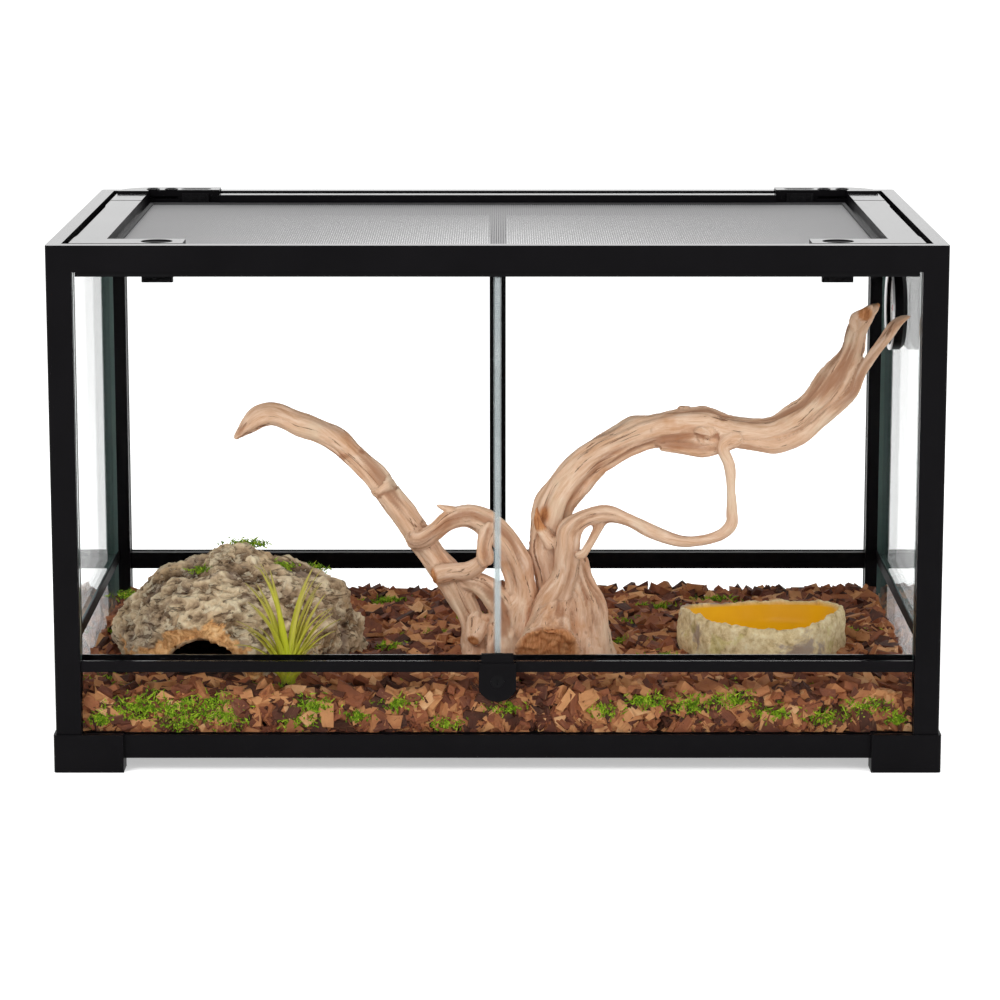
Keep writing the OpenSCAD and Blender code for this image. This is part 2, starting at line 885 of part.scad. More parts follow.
module right_door_strip()
    mirror([1, 0, 0])
        door_strip(rear_channel);

// Outline of the lock plate, in [x, z]
module lock_outline(top) {
    intersection() {
        union() {
            translate([0, lock_z + lock_r])
                circle(lock_r);
            translate([-lock_w / 2, lock_z + lock_r])
                square([lock_w, top - lock_z - lock_r]);
        }
        translate([-lock_w / 2, lock_z - over])
            square([lock_w, top - lock_z + over]);
    }
}

// Draws an [x, z] outline out along Y, from one distance from the front to another
module upright(s_low, s_high)
    translate([0, front + s_high, 0])
        rotate([90, 0, 0])
            linear_extrude(s_high - s_low)
                children();

module lock_housing() {
    body_back = pane_offset - 0.3;
    body_half_w = 10;
    color(black)
        difference() {
            union() {
                upright(-plate_front, plate_back)
                    lock_outline(lock_shoulder_z);
                upright(-tab_proud, plate_back)
                    translate([-lock_tab_w / 2, lock_shoulder_z - over])
                        square([lock_tab_w, tab_top - lock_shoulder_z + over]);
                upright(0, body_back)
                    translate([-body_half_w, bolt_low - 4])
                        square([2 * body_half_w, mid_z - bolt_low + 4 - fit_gap]);
            }
            upright(-plate_front - over, -bolt_front + 0.1)
                translate([0, barrel_z])
                    circle(barrel_r + running_gap);
            upright(-bolt_front - bolt_slack, -bolt_front + bolt_t + bolt_slack)
                translate([-bolt_foot_w / 2 - bolt_slack, bolt_low - 0.5])
                    square([bolt_foot_w + 2 * bolt_slack, bolt_foot_h + 2 * pin_drop + 1.2]);
            upright(-bolt_front - bolt_slack, -bolt_front + bolt_t + bolt_slack)
                translate([-bolt_w / 2 - bolt_slack, bolt_low])
                    square([bolt_w + 2 * bolt_slack, tab_top - bolt_low + over]);
        }
}

// The barrel turns in the plate; an off-centre pin behind it lifts the bolt
module lock_barrel() {
    keyway = [1, 5];
    color(soft_black)
        difference() {
            union() {
                upright(-plate_front + barrel_recess, -plate_front + barrel_recess + barrel_l)
                    translate([0, barrel_z])
                        circle(barrel_r);
                upright(-bolt_front - over, -bolt_front + bolt_t - 0.1)
                    translate([pin_drop, barrel_z - pin_drop])
                        circle(crank_pin_r);
            }
            upright(-plate_front - over, -plate_front + barrel_recess + 1)
                translate([-keyway[0] / 2, barrel_z - keyway[1] / 2])
                    square(keyway);
        }
}

module lock_bolt() {
    slot_h = 2 * (crank_pin_r + bolt_slack);
    slot_low_x = pin_drop - crank_pin_r - bolt_slack - 0.1;
    slot_high_x = crank_r + crank_pin_r + bolt_slack + 0.1;
    color(silver)
        upright(-bolt_front, -bolt_front + bolt_t)
            difference() {
                union() {
                    translate([-bolt_foot_w / 2, bolt_low])
                        square([bolt_foot_w, bolt_foot_h]);
                    translate([-bolt_w / 2, bolt_low])
                        square([bolt_w, tab_top - 1 - bolt_low]);
                }
                translate([slot_low_x, barrel_z - pin_drop - slot_h / 2])
                    square([slot_high_x - slot_low_x, slot_h]);
            }
}

// A bar of the lid: x from and to, y from and to, and its height above the lid's underside
module lid_bar(x_low, x_high, y_low, y_high, height)
    translate([x_low, y_low, lid_low])
        cube([x_high - x_low, y_high - y_low, height]);

module lid_frame()
    color(black)
        difference() {
            union() {
                on_both_sides() {
                    lid_bar(opening_half_w, lid_half_w, lid_front, lid_front + band_l, lid_h);
                    lid_bar(flange_inner, opening_half_w - side_gap, lid_front, lid_rear, flange_h);
                    lid_bar(
                        opening_half_w - side_gap - over, opening_half_w + over,
                        lid_front, lid_front + band_l, flange_h
                    );
                    lid_bar(
                        opening_half_w - knob_ledge[0], opening_half_w + over,
                        lid_front, lid_front + knob_ledge[1], lid_h
                    );
                    hinge_pin();
                }
                lid_bar(-opening_half_w, opening_half_w, lid_front, lid_front + flange_w, flange_h);
                lid_bar(
                    -opening_half_w + side_gap, opening_half_w - side_gap,
                    lid_rear - flange_depth, lid_rear, flange_h
                );
                hinge_band();
            }
            mesh_room();
            on_both_sides() {
                side_relief();
                latch_holes();
            }
        }

// The lid's rear band, between the port housings, is half round about the hinge's axis
module hinge_band()
    translate([-hinge_half_w, 0, 0])
        rotate([90, 0, 90])
            linear_extrude(2 * hinge_half_w)
                union() {
                    translate([hinge_y, hinge_z])
                        circle(hinge_r);
                    translate([lid_rear - flange_depth / 2, lid_low])
                        square([hinge_y - lid_rear + flange_depth / 2, 2 * hinge_r]);
                }

module hinge_pin()
    translate([-hinge_half_w - hinge_pin_l, hinge_y, hinge_z])
        rotate([0, 90, 0])
            cylinder(r = hinge_pin_r, h = hinge_pin_l + over);

// The seat of the mesh, and above it the channel of the spline that holds it
module mesh_room() {
    half_w = opening_half_w - side_gap - 2;
    low_y = lid_front + 2;
    high_y = lid_rear - 2;
    room_h = spline_h + mesh_t + 0.3;
    translate([-half_w, low_y, lid_low + mesh_rise])
        cube([2 * half_w, high_y - low_y, mesh_t + seat_gap]);
    difference() {
        translate([-half_w, low_y, lid_low + mesh_rise])
            cube([2 * half_w, high_y - low_y, room_h + over]);
        for (side = [-1, 1])
            translate([side * (opening_half_w - knob_ledge[0] / 2), low_y, lid_low + lid_h / 2 + mesh_rise + mesh_t])
                cube([knob_ledge[0] + 2, 2 * knob_ledge[1], lid_h], center = true);
    }
}

// A long shallow arc cut in the outer edge of the side band
module side_relief()
    translate([-lid_half_w + relief_w - relief_r, lid_front + band_l / 2, lid_top - relief_depth])
        cylinder(r = relief_r, h = relief_depth + over, $fn = 256);

module latch_holes() {
    translate([-latch_x, latch_y, lid_top - knob_recess])
        cylinder(r = knob_r + 0.4, h = knob_recess + over);
    translate([-latch_x, latch_y, lid_low - over])
        cylinder(r = shaft_r + running_gap, h = lid_h + over);
}

module lid_mesh() {
    half_w = opening_half_w - side_gap - 2 - fit_gap;
    low_y = lid_front + 2 + fit_gap;
    color(mesh_grey)
        difference() {
            translate([-half_w, low_y, lid_low + mesh_rise + 0.05])
                cube([2 * half_w, lid_rear - 2 - fit_gap - low_y, mesh_t]);
            on_both_sides()
                translate([-latch_x, latch_y, lid_low])
                    cylinder(r = shaft_r + 1, h = lid_h);
        }
}

// The spline is a soft bead pressed in over the edge of the mesh
module mesh_spline() {
    half_w = opening_half_w - side_gap - 2 - fit_gap;
    low_y = lid_front + 2 + fit_gap;
    high_y = lid_rear - 2 - fit_gap;
    color(soft_black)
        difference() {
            translate([-half_w, low_y, lid_low + mesh_rise + mesh_t + 0.2])
                cube([2 * half_w, high_y - low_y, spline_h]);
            translate([-half_w + spline_t, low_y + spline_t, lid_low])
                cube([2 * (half_w - spline_t), high_y - low_y - 2 * spline_t, lid_h]);
            on_both_sides()
                translate([-opening_half_w, low_y - over, lid_low])
                    cube([knob_ledge[0] + 1.5, knob_ledge[1] + over, lid_h]);
        }
}

// The knob lies in its recess; its shaft goes down through the lid
module latch_knob(is_right)
    color(soft_black)
        mirror([is_right ? 1 : 0, 0, 0])
            translate([-latch_x, latch_y, 0]) {
                translate([0, 0, knob_z])
                    cylinder(r = knob_r, h = knob_t);
                translate([0, 0, knob_z + knob_t - over])
                    intersection() {
                        cylinder(r = knob_r - 2.5, h = over + lid_top - knob_z - knob_t - 0.2);
                        translate([-knob_r, -grip_w / 2, 0])
                            cube([2 * knob_r, grip_w, lid_h]);
                    }
                translate([0, 0, cam_low + cam_h + 0.2])
                    cylinder(r = shaft_r, h = knob_z - cam_low - cam_h);
                translate([0, 0, cam_low + cam_nut_h])
                    cylinder(r = cam_bore_r - running_gap, h = cam_h);
            }

// The cam turns under the inner ledge of the front rail and holds the lid down
module latch_cam(is_right)
    color(black)
        mirror([is_right ? 1 : 0, 0, 0])
            translate([-latch_x, latch_y, cam_low])
                difference() {
                    intersection() {
                        translate([-cam_l / 2, -cam_w / 2, 0])
                            cube([cam_l, cam_w, cam_h]);
                        cylinder(r = cam_l / 2, h = cam_h);
                    }
                    translate([0, 0, cam_nut_h - 0.2])
                        cylinder(r = cam_bore_r, h = cam_h);
                }

// Plan of the port housing: the leg beside the lid and the part along the back
module port_plan(back_y)
    difference() {
        union() {
            translate([port_left, leg_front])
                square([band_w, back_y - leg_front]);
            translate([port_left, port_front])
                square([port_right - port_left, back_y - port_front]);
        }
        translate([port_left - over, back_y - port_corner_r])
            difference() {
                square([port_corner_r + over, port_corner_r + over]);
                translate([port_corner_r + over, 0])
                    circle(port_corner_r, $fn = 96);
            }
    }

module port_housing(is_right) {
    body_back = port_front + port_d;
    color(black)
        mirror([is_right ? 1 : 0, 0, 0])
            difference() {
                union() {
                    translate([0, 0, ledge_z + 0.05])
                        linear_extrude(body_h - ledge_z - 0.05)
                            port_plan(body_back);
                    translate([0, 0, body_h + 0.05])
                        linear_extrude(port_cap_t)
                            difference() {
                                port_plan(rear - 2);
                                translate([port_left - over, leg_front - over])
                                    square([band_w + 2 * over, port_front - cap_reach - leg_front + over]);
                            }
                    translate([0, 0, body_h - over])
                        linear_extrude(port_cap_t)
                            intersection() {
                                port_plan(body_back);
                                translate([port_left, port_front - cap_reach])
                                    square([port_right - port_left, port_d + cap_reach]);
                            }
                    for (x = round_x)
                        translate([x, port_y, body_h + port_cap_t - over])
                            cylinder(r = port_r + ring_w, h = over + ring_h);
                }
                port_holes();
                gate_room();
                translate([port_right, hinge_y, hinge_z])
                    rotate([0, -90, 0])
                        translate([0, 0, -over])
                            cylinder(r = hinge_pin_r + running_gap, h = over + hinge_pin_l);
            }
}

module port_holes() {
    low = ledge_z - over;
    high = top_rail_h + port_cap_t + 2 * over;
    slot_end = port_slot_l / 2 - port_r;
    for (x = round_x)
        translate([x, port_y, low])
            cylinder(r = port_r, h = high);
    for (x = [slot_x - slot_end, slot_x + slot_end])
        translate([x, port_y, low])
            cylinder(r = port_r, h = high);
    translate([slot_x - slot_end, port_y - port_r, low])
        cube([2 * slot_end, 2 * port_r, high]);
}

module gate_room() {
    room_l = gate_l + gate_travel + 2 * gate_slack;
    translate([gate_right + gate_slack - room_l, port_front - over, gate_z - gate_slack])
        cube([room_l, port_d + over - 1, gate_t + 2 * gate_slack]);
}

// The gate slides in its slot; a waved grip stands in front of the housing
module port_gate(is_right)
    color(soft_black)
        mirror([is_right ? 1 : 0, 0, 0]) {
            translate([gate_right - gate_l, port_front + 1, gate_z])
                cube([gate_l, port_d - 1 - 1 - gate_slack, gate_t]);
            translate([slot_x - grip_l / 2 + 3, grip_y, gate_z])
                cube([grip_l - 6, port_front + 2 - grip_y, gate_t]);
            difference() {
                translate([slot_x - grip_l / 2, grip_y, gate_z + gate_t / 2 - grip_h / 2])
                    cube([grip_l, port_front - grip_y - 0.3, grip_h]);
                for (i = [-1, 0, 1])
                    translate([slot_x + i * grip_l / 3, grip_y - 3.4, gate_z - grip_h])
                        cylinder(r = 4.4, h = 2 * grip_h);
            }
        }

// Turns a shape drawn on the XY plane so that it lies on the right pane and faces the middle of the case
module on_right_pane()
    translate([gauge_back, gauge_y, gauge_z])
        rotate([0, -90, 0])
            children();

module gauge_case() {
    dish_r = gauge_r - bezel_w;
    dish_d = 4;
    color(black)
        on_right_pane()
            rotate_extrude($fn = 96)
                polygon([
                    [0, 0], [gauge_r - chamfer, 0], [gauge_r - 0.5, chamfer], [gauge_r - 0.5, gauge_d],
                    [dish_r, gauge_d], [dish_r, gauge_d - dish_d], [0, gauge_d - dish_d]
                ]);
}

module gauge_bezel()
    color(silver)
        on_right_pane()
            rotate_extrude($fn = 96)
                polygon([
                    [gauge_r - bezel_w + 0.5, gauge_d], [gauge_r, gauge_d], [gauge_r, gauge_d + bezel_h - 0.8],
                    [gauge_r - 1, gauge_d + bezel_h], [gauge_r - bezel_w + 0.5, gauge_d + bezel_h - 1.2]
                ]);

module gauge_dial()
    color("white")
        on_right_pane()
            translate([0, 0, gauge_d - 4])
                cylinder(r = gauge_r - bezel_w - 0.2, h = 0.8);

module gauge_needle()
    color([0.75, 0.1, 0.1])
        on_right_pane()
            translate([0, 0, gauge_d - 3]) {
                cylinder(r = 2.6, h = 1.4);
                linear_extrude(0.7)
                    polygon([[-6, -1.2], [24, -0.4], [24, 0.4], [-6, 1.2]]);
            }

// Footprints kept level under the furnishings: [x, y, half width, half depth]
pads = [
    [left + hide_x, front_y(hide_s), hide_size[0] + pad_margin, hide_size[1] + pad_margin],
    [-left - dish_x, front_y(dish_s), dish_size[0] + pad_margin, dish_size[1] + pad_margin],
    [left + plant_x, front_y(plant_s), bulb_r + pad_margin, bulb_r + pad_margin],
    [0, front_y(168), 72, 56],
    [70, front_y(160), 70, 66]
];
function on_pad(x, y) = max([for (p = pads) 1 - norm([(x - p[0]) / p[2], (y - p[1]) / p[3]])]) > 0;

// The bed of bark chips: its top is a field of tilted flat spots, level under the furnishings
module substrate() {
    columns = 46;
    rows = 28;
    half_w = body_w / 2 - pane_inner - 0.5;
    half_d = body_d / 2 - pane_inner - 0.5;
    step_x = 2 * half_w / columns;
    step_y = 2 * half_d / rows;
    top = [
        for (j = [0:rows])
            for (i = [0:columns])
                let (
                    x = -half_w + i * step_x,
                    y = -half_d + j * step_y,
                    chip = scatter(floor(i / 2 + scatter(j, 3)), floor(j / 2 + scatter(i, 5))),
                    bump = on_pad(x, y) ? 0 : bump_h * (0.4 + 0.375 * chip + 0.125 * scatter(i, j))
                )
                [x, y, bed_z + bump]
    ];
    edge = concat(
        [for (i = [0:columns - 1]) i],
        [for (j = [0:rows - 1]) j * (columns + 1) + columns],
        [for (i = [columns:-1:1]) rows * (columns + 1) + i],
        [for (j = [rows:-1:1]) j * (columns + 1)]
    );
    count = len(top);
    base = [for (k = edge) [top[k][0], top[k][1], floor_top + seat_gap]];
    n = len(edge);
    upper = [
        for (j = [0:rows - 1])
            for (i = [0:columns - 1])
                let (a = j * (columns + 1) + i, b = a + columns + 1)
                each [[a, b, a + 1], [a + 1, b, b + 1]]
    ];
    walls = [
        for (k = [0:n - 1])
            let (m = (k + 1) % n)
            each [[edge[k], edge[m], count + k], [edge[m], count + m, count + k]]
    ];
    under = [[for (k = [0:n - 1]) count + k]];
    rim_z = foot_h + 0.4;
    rim = post_w + 0.4;
    color(bark_brown)
        resize([2 * half_w, 2 * half_d, 0])
            difference() {
                polyhedron(points = concat(top, base), faces = concat(upper, walls, under));
                front_and_rear()
                    translate([left, front, 0])
                        cube([body_w, rim, rim_z]);
                on_both_sides() {
                    translate([left, front, 0])
                        cube([rim, body_d, rim_z]);
                    front_and_rear()
                        translate([left, front, 0])
                            cube([rim, rim, 2 * bed_z]);
                }
            }
}

// The ground that the furnishings are cut flat against
module bed_cut()
    translate([left, front, 0])
        cube([body_w, body_d, bed_z + seat_gap]);

module driftwood_left()
    color(wood_tan)
        difference() {
            union() {
                branch(left_stem, 10);
                branch(left_arch, 10);
                branch(left_stub, 8, 2);
            }
            bed_cut();
        }

module driftwood_right()
    color(wood_tan)
        difference() {
            union() {
                branch(right_stem, 10);
                branch(right_twig, 7);
                branch(right_loop, 8);
                branch(right_spike, 7);
                branch(right_root, 8, 2);
            }
            bed_cut();
        }

// A closed dome: rings shrink towards the crown, and lobes and roughness shape each ring
module bark_dome(size, rough, levels, sides) {
    rings = [
        for (i = [0:levels])
            let (h = sin(90 * i / levels), shrink = i == levels ? 0.12 : pow(1 - pow(h, 2.4), 0.42))
            [
                for (k = [0:sides - 1])
                    let (
                        a = -360 * k / sides,
                        lobe = 1 + 0.05 * sin(3 * a + 40) + 0.03 * sin(7 * a) + rough * scatter(i, k)
                    )
                    [
                        size[0] * shrink * lobe * cos(a),
                        size[1] * shrink * lobe * sin(a),
                        size[2] * h * (i == 0 ? 1 : 1 + rough * scatter(k, i))
                    ]
            ]
    ];
    loft(rings);
}

// The bark hide is a shell with a low mouth at the front
module cork_hide() {
    inner = 0.8;
    mouth_r = 37;
    mouth_x = -24;
    color(cork_grey)
        translate([left + hide_x, front_y(hide_s), bed_z + seat_gap])
            resize([2 * hide_size[0], 2 * hide_size[1], hide_size[2]])
                difference() {
                    bark_dome(hide_size, 0.05, 9, 36);
                    translate([0, 0, -over])
                        bark_dome([hide_size[0] * inner, hide_size[1] * inner, hide_size[2] * 0.72], 0, 6, 24);
                    translate([mouth_x, -hide_size[1] / 2, -over])
                        rotate([90, 0, 0])
                            cylinder(r = mouth_r, h = hide_size[1], $fn = 24);
                }
}

// The water dish: an uneven stone rim round a smooth bowl
module water_dish() {
    sides = 36;
    // Share of the outer size and height of each ring, up the outside and down into the bowl
    outline = [
        [0.97, 0], [1, 0.2], [0.98, 0.55], [0.96, 0.85], [0.92, 1], [0.85, 1], [0.8, 0.88], [0.73, 0.55], [0.62, 0.3], [0.4, 0.24]
    ];
    rings = [
        for (i = [0:len(outline) - 1])
            [
                for (k = [0:sides - 1])
                    let (
                        a = -360 * k / sides,
                        lobe = 1 + 0.045 * sin(3 * a + 20) + 0.03 * sin(5 * a) + (i < 5 ? 0.012 * scatter(i, k) : 0),
                        rise = outline[i][1] * (1 + 0.07 * sin(2 * a + 60))
                    )
                    [
                        dish_size[0] * outline[i][0] * lobe * cos(a),
                        dish_size[1] * outline[i][0] * lobe * sin(a),
                        dish_size[2] * rise
                    ]
            ]
    ];
    color(stone_khaki)
        translate([-left - dish_x, front_y(dish_s), bed_z + seat_gap])
            loft(rings);
}

// One leaf: it rises from the middle, leans out and curls over as its tip narrows
function leaf_route(turn, lean, length) = [
    for (i = [0:6])
        let (t = i / 6, tilt = lean * (0.35 + 0.65 * t), reach = length * t)
        [reach * sin(tilt) * cos(turn), reach * sin(tilt) * sin(turn), reach * cos(tilt), 5.5 * (1 - 0.9 * t) + 0.3]
];

module air_plant() {
    leaves = 17;
    color(leaf_green)
        translate([left + plant_x, front_y(plant_s), bed_z + seat_gap])
            resize([0, 0, plant_h])
                difference() {
                    union() {
                        for (i = [0:leaves - 1]) {
                            side = i % 2 == 0 ? 0 : 180;
                            turn = side + 22 * scatter(i, 2) - (side == 0 ? 8 : -8);
                            lean = 8 + 52 * i / leaves;
                            length = leaf_l * (1 - 0.3 * i / leaves + 0.06 * scatter(i, 4));
                            loft(tube_rings(leaf_route(turn, lean, length), 6, 0.28, 0, [-sin(turn), cos(turn), 0]));
                        }
                        translate([0, 0, bulb_r / 2])
                            sphere(bulb_r, $fn = 24);
                    }
                    translate([-leaf_l, -leaf_l, -leaf_l])
                        cube([2 * leaf_l, 2 * leaf_l, leaf_l]);
                }
}

foot(false, false);  // foot_front_left
foot(true, false);  // foot_front_right
foot(false, true);  // foot_rear_left
foot(true, true);  // foot_rear_right
base_rails_long();
base_rails_side();
floor_panel();
lower_post(false, false);  // lower_post_front_left
lower_post(true, false);  // lower_post_front_right
lower_post(false, true);  // lower_post_rear_left
lower_post(true, true);  // lower_post_rear_right
lower_pane_front();
lower_pane_rear();
lower_panes_side();
door_sill();
mid_rail_rear();
side_joint_strips();
upper_post(false, false);  // upper_post_front_left
upper_post(true, false);  // upper_post_front_right
upper_post(false, true);  // upper_post_rear_left
upper_post(true, true);  // upper_post_rear_right
rear_strut();
rear_panes();
side_pane(false);  // side_pane_left
side_pane(true);  // side_pane_right
top_rail_front();
top_rail_rear();
rear_rail_ends();
top_rail_side(false);  // top_rail_left
top_rail_side(true);  // top_rail_right
top_corners();
door_track();
left_door_glass();
right_door_glass();
left_door_strip();
right_door_strip();
lock_housing();
lock_barrel();
lock_bolt();
lid_frame();
lid_mesh();
mesh_spline();
latch_knob(false);  // latch_knob_left
latch_knob(true);  // latch_knob_right
latch_cam(false);  // latch_cam_left
latch_cam(true);  // latch_cam_right
port_housing(false);  // port_housing_left
port_housing(true);  // port_housing_right
port_gate(false);  // port_gate_left
port_gate(true);  // port_gate_right
gauge_case();
gauge_bezel();
gauge_dial();
gauge_needle();
substrate();
driftwood_left();
driftwood_right();
cork_hide();
water_dish();
air_plant();
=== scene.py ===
"""Looks of the reptile terrarium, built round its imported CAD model. Metres, Z up, doors towards -Y."""

import math
import random

import bmesh
import bpy
import numpy as np
from mathutils import Euler, Matrix, Vector, noise
from mathutils.bvhtree import BVHTree


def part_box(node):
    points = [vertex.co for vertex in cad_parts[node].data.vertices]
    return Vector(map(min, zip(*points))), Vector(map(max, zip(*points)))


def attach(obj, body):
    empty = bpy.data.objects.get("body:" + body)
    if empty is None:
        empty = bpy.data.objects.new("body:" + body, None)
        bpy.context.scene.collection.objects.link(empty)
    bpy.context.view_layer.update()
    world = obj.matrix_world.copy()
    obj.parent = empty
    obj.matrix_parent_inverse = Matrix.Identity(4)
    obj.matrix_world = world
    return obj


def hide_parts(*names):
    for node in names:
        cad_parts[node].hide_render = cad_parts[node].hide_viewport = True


MM = 0.001
# The front of the case lies this far before the middle; places below count from it
HALF_DEPTH = 226.5
BED_Z = 60.0
INNER_HALF_WIDTH = 362 * MM


def at(x, s, z):
    """A point in metres: x right of the middle, s behind the front of the case, z above the ground, in mm."""
    return Vector((x * MM, (s - HALF_DEPTH) * MM, z * MM))


# Shader sums


class Amount:
    """A shader socket that can be used in sums."""

    def __init__(self, finish, socket):
        self.finish = finish
        self.socket = socket

    def work_out(self, operation, first, second=0.0):
        return self.finish.amount("ShaderNodeMath", {"operation": operation}, {0: first, 1: second})

    def __add__(self, other):
        return self.work_out("ADD", self, other)

    def __radd__(self, other):
        return self.work_out("ADD", other, self)

    def __sub__(self, other):
        return self.work_out("SUBTRACT", self, other)

    def __rsub__(self, other):
        return self.work_out("SUBTRACT", other, self)

    def __mul__(self, other):
        return self.work_out("MULTIPLY", self, other)

    def __rmul__(self, other):
        return self.work_out("MULTIPLY", other, self)

    def __truediv__(self, other):
        return self.work_out("DIVIDE", self, other)

    def __pow__(self, other):
        return self.work_out("POWER", self, other)

    def __gt__(self, other):
        return self.work_out("GREATER_THAN", self, other)

    def __lt__(self, other):
        return self.work_out("LESS_THAN", self, other)

    def __abs__(self):
        return self.work_out("ABSOLUTE", self)

    def higher_of(self, other):
        return self.work_out("MAXIMUM", self, other)

    def repeat(self, length):
        return self.work_out("FLOORED_MODULO", self, length)


class Finish:
    """A material and the nodes that make it."""

    def __init__(self, name):
        self.material = bpy.data.materials.new(name)
        self.material.use_nodes = True
        self.tree = self.material.node_tree
        self.tree.nodes.clear()

    def node(self, kind, settings=None, sockets=None):
        made = self.tree.nodes.new(kind)
        for name, value in (settings or {}).items():
            if name == "stops":
                set_stops(made.color_ramp, value)
            else:
                setattr(made, name, value)
        for key, value in (sockets or {}).items():
            if isinstance(value, Amount):
                self.tree.links.new(value.socket, made.inputs[key])
            else:
                made.inputs[key].default_value = value
        return made

    def amount(self, kind, settings=None, sockets=None, output=0):
        return Amount(self, self.node(kind, settings, sockets).outputs[output])

    def place(self):
        return self.amount("ShaderNodeTexCoord", output="Object")

    def carried(self, attribute, output="Vector"):
        return self.amount("ShaderNodeAttribute", {"attribute_name": attribute}, output=output)

    def mapped(self, where, scale):
        return self.amount("ShaderNodeMapping", sockets={"Vector": where, "Scale": scale})

    def noise(self, where, scale, detail=4.0, roughness=0.55, distortion=0.0):
        sockets = {"Vector": where, "Scale": scale, "Detail": detail}
        sockets.update({"Roughness": roughness, "Distortion": distortion})
        return self.amount("ShaderNodeTexNoise", sockets=sockets)

    def cells(self, where, scale, output="Distance"):
        return self.amount("ShaderNodeTexVoronoi", sockets={"Vector": where, "Scale": scale}, output=output)

    def parts_of(self, vector):
        split = self.node("ShaderNodeSeparateXYZ", sockets={0: vector})
        return [Amount(self, socket) for socket in split.outputs]

    def ramp(self, amount, stops):
        return self.amount("ShaderNodeValToRGB", {"stops": stops}, {0: amount})

    def step(self, amount, low, high):
        """0 below low, 1 above high and a smooth rise between them."""
        settings = {"interpolation_type": "SMOOTHSTEP"}
        sockets = {"Value": amount, "From Min": low, "From Max": high}
        return self.amount("ShaderNodeMapRange", settings, sockets)

    def blend(self, share, first, second):
        """The first colour where share is 0 and the second where it is 1."""
        sockets = {0: share, 6: colour(first), 7: colour(second)}
        return self.amount("ShaderNodeMix", {"data_type": "RGBA"}, sockets, 2)

    def bump(self, height, distance, strength=1.0):
        sockets = {"Height": height, "Distance": distance, "Strength": strength}
        return self.amount("ShaderNodeBump", sockets=sockets)

    def surface(self, **sockets):
        names = {name.replace("_", " "): value for name, value in sockets.items()}
        names["Base Color"] = colour(names["Base Color"])
        return self.amount("ShaderNodeBsdfPrincipled", sockets=names)

    def mixed(self, share, first, second):
        return self.amount("ShaderNodeMixShader", sockets={0: share, 1: first, 2: second})

    def done(self, shader):
        self.node("ShaderNodeOutputMaterial", sockets={"Surface": shader})
        return self.material


def colour(value):
    return value if isinstance(value, Amount) else (*value[:3], 1.0)


def set_stops(ramp, stops):
    while len(ramp.elements) < len(stops):
        ramp.elements.new(1.0)
    for element, (position, value) in zip(ramp.elements, stops):
        element.position = position
        element.color = colour(value)


# Finishes of the case


def moulded_black(name, dark, pale, roughness, grain, polish=0.0):
    """Black moulded plastic with a fine grain and faint marks. polish is the gloss of faces that look up."""
    f = Finish(name)
    where = f.place()
    marks = f.noise(where, 14.0, 6.0, 0.6)
    skin = f.noise(where, grain, 3.0, 0.5)
    facing_up = f.parts_of(f.amount("ShaderNodeTexCoord", output="Normal"))[2]
    return f.done(
        f.surface(
            Base_Color=f.blend(marks, dark, pale),
            Roughness=marks * 0.16 + roughness,
            Specular_IOR_Level=0.045,
            Coat_Weight=f.step(facing_up, 0.25, 0.8) * polish,
            Coat_Roughness=0.09,
            Coat_IOR=1.7,
            Normal=f.bump(skin, 0.00006, 0.6),
        )
    )


def polished_glass(name, facing):
    """A clear pane that mirrors more towards its edge-on view, with green cut edges. facing is its axis."""
    f = Finish(name)
    where = f.place()
    normal = f.parts_of(f.amount("ShaderNodeNewGeometry", output="True Normal"))
    edge = abs(normal[facing]) < 0.5
    smears = f.noise(where, 7.0, 5.0, 0.6)
    clear = f.amount("ShaderNodeBsdfTransparent", sockets={"Color": (0.998, 1.0, 0.999, 1.0)})
    mirrored = {"Color": (1.0, 1.0, 1.0, 1.0), "Roughness": smears * 0.03 + 0.01}
    mirror = f.amount("ShaderNodeBsdfAnisotropic", sockets=mirrored)
    share = (f.amount("ShaderNodeFresnel", sockets={"IOR": 1.3}) - 0.024).higher_of(0.0) * 0.8
    pane = f.mixed(share, clear, mirror)
    cut = f.surface(Base_Color=f.blend(smears, (0.16, 0.3, 0.27), (0.34, 0.5, 0.46)), Roughness=0.12)
    return f.done(f.mixed(edge * 0.72, pane, cut))


def clear_plastic():
    """The doors' clear edge strips: mostly clear, with a pale share that is partly milky plastic and partly a
    painted highlight of the light they catch.
    """
    f = Finish("clear_strip")
    milk_and_glint = f.noise(f.place(), 30.0, 3.0)
    clear = f.amount("ShaderNodeBsdfTransparent", sockets={"Color": (0.93, 0.95, 0.95, 1.0)})
    body = f.surface(Base_Color=f.blend(milk_and_glint, (0.62, 0.66, 0.67), (0.8, 0.83, 0.84)), Roughness=0.14)
    return f.done(f.mixed(milk_and_glint * 0.1 + 0.12, clear, body))


def wire_screen():
    """The lid's screen: wires 2 mm apart, with holes between them."""
    f = Finish("screen_mesh")
    x, y, _ = f.parts_of(f.place())
    pitch = 0.002
    wire = 0.26
    across = abs(x.repeat(pitch) / pitch - 0.5)
    along = abs(y.repeat(pitch) / pitch - 0.5)
    near = across.higher_of(along)
    solid = near > 0.5 - wire
    crown = f.step(near, 0.5 - wire, 0.5)
    # Wire colour runs from dark at each wire's sides to pale on its crown: painted shade and painted
    # highlight across the round wire.
    steel = f.surface(
        Base_Color=f.blend(crown, (0.13, 0.13, 0.133), (0.36, 0.355, 0.36)),
        Roughness=0.45,
        Metallic=0.2,
        Normal=f.bump(crown, 0.0002, 0.5),
    )
    hole = f.amount("ShaderNodeBsdfTransparent")
    return f.done(f.mixed(solid, hole, steel))


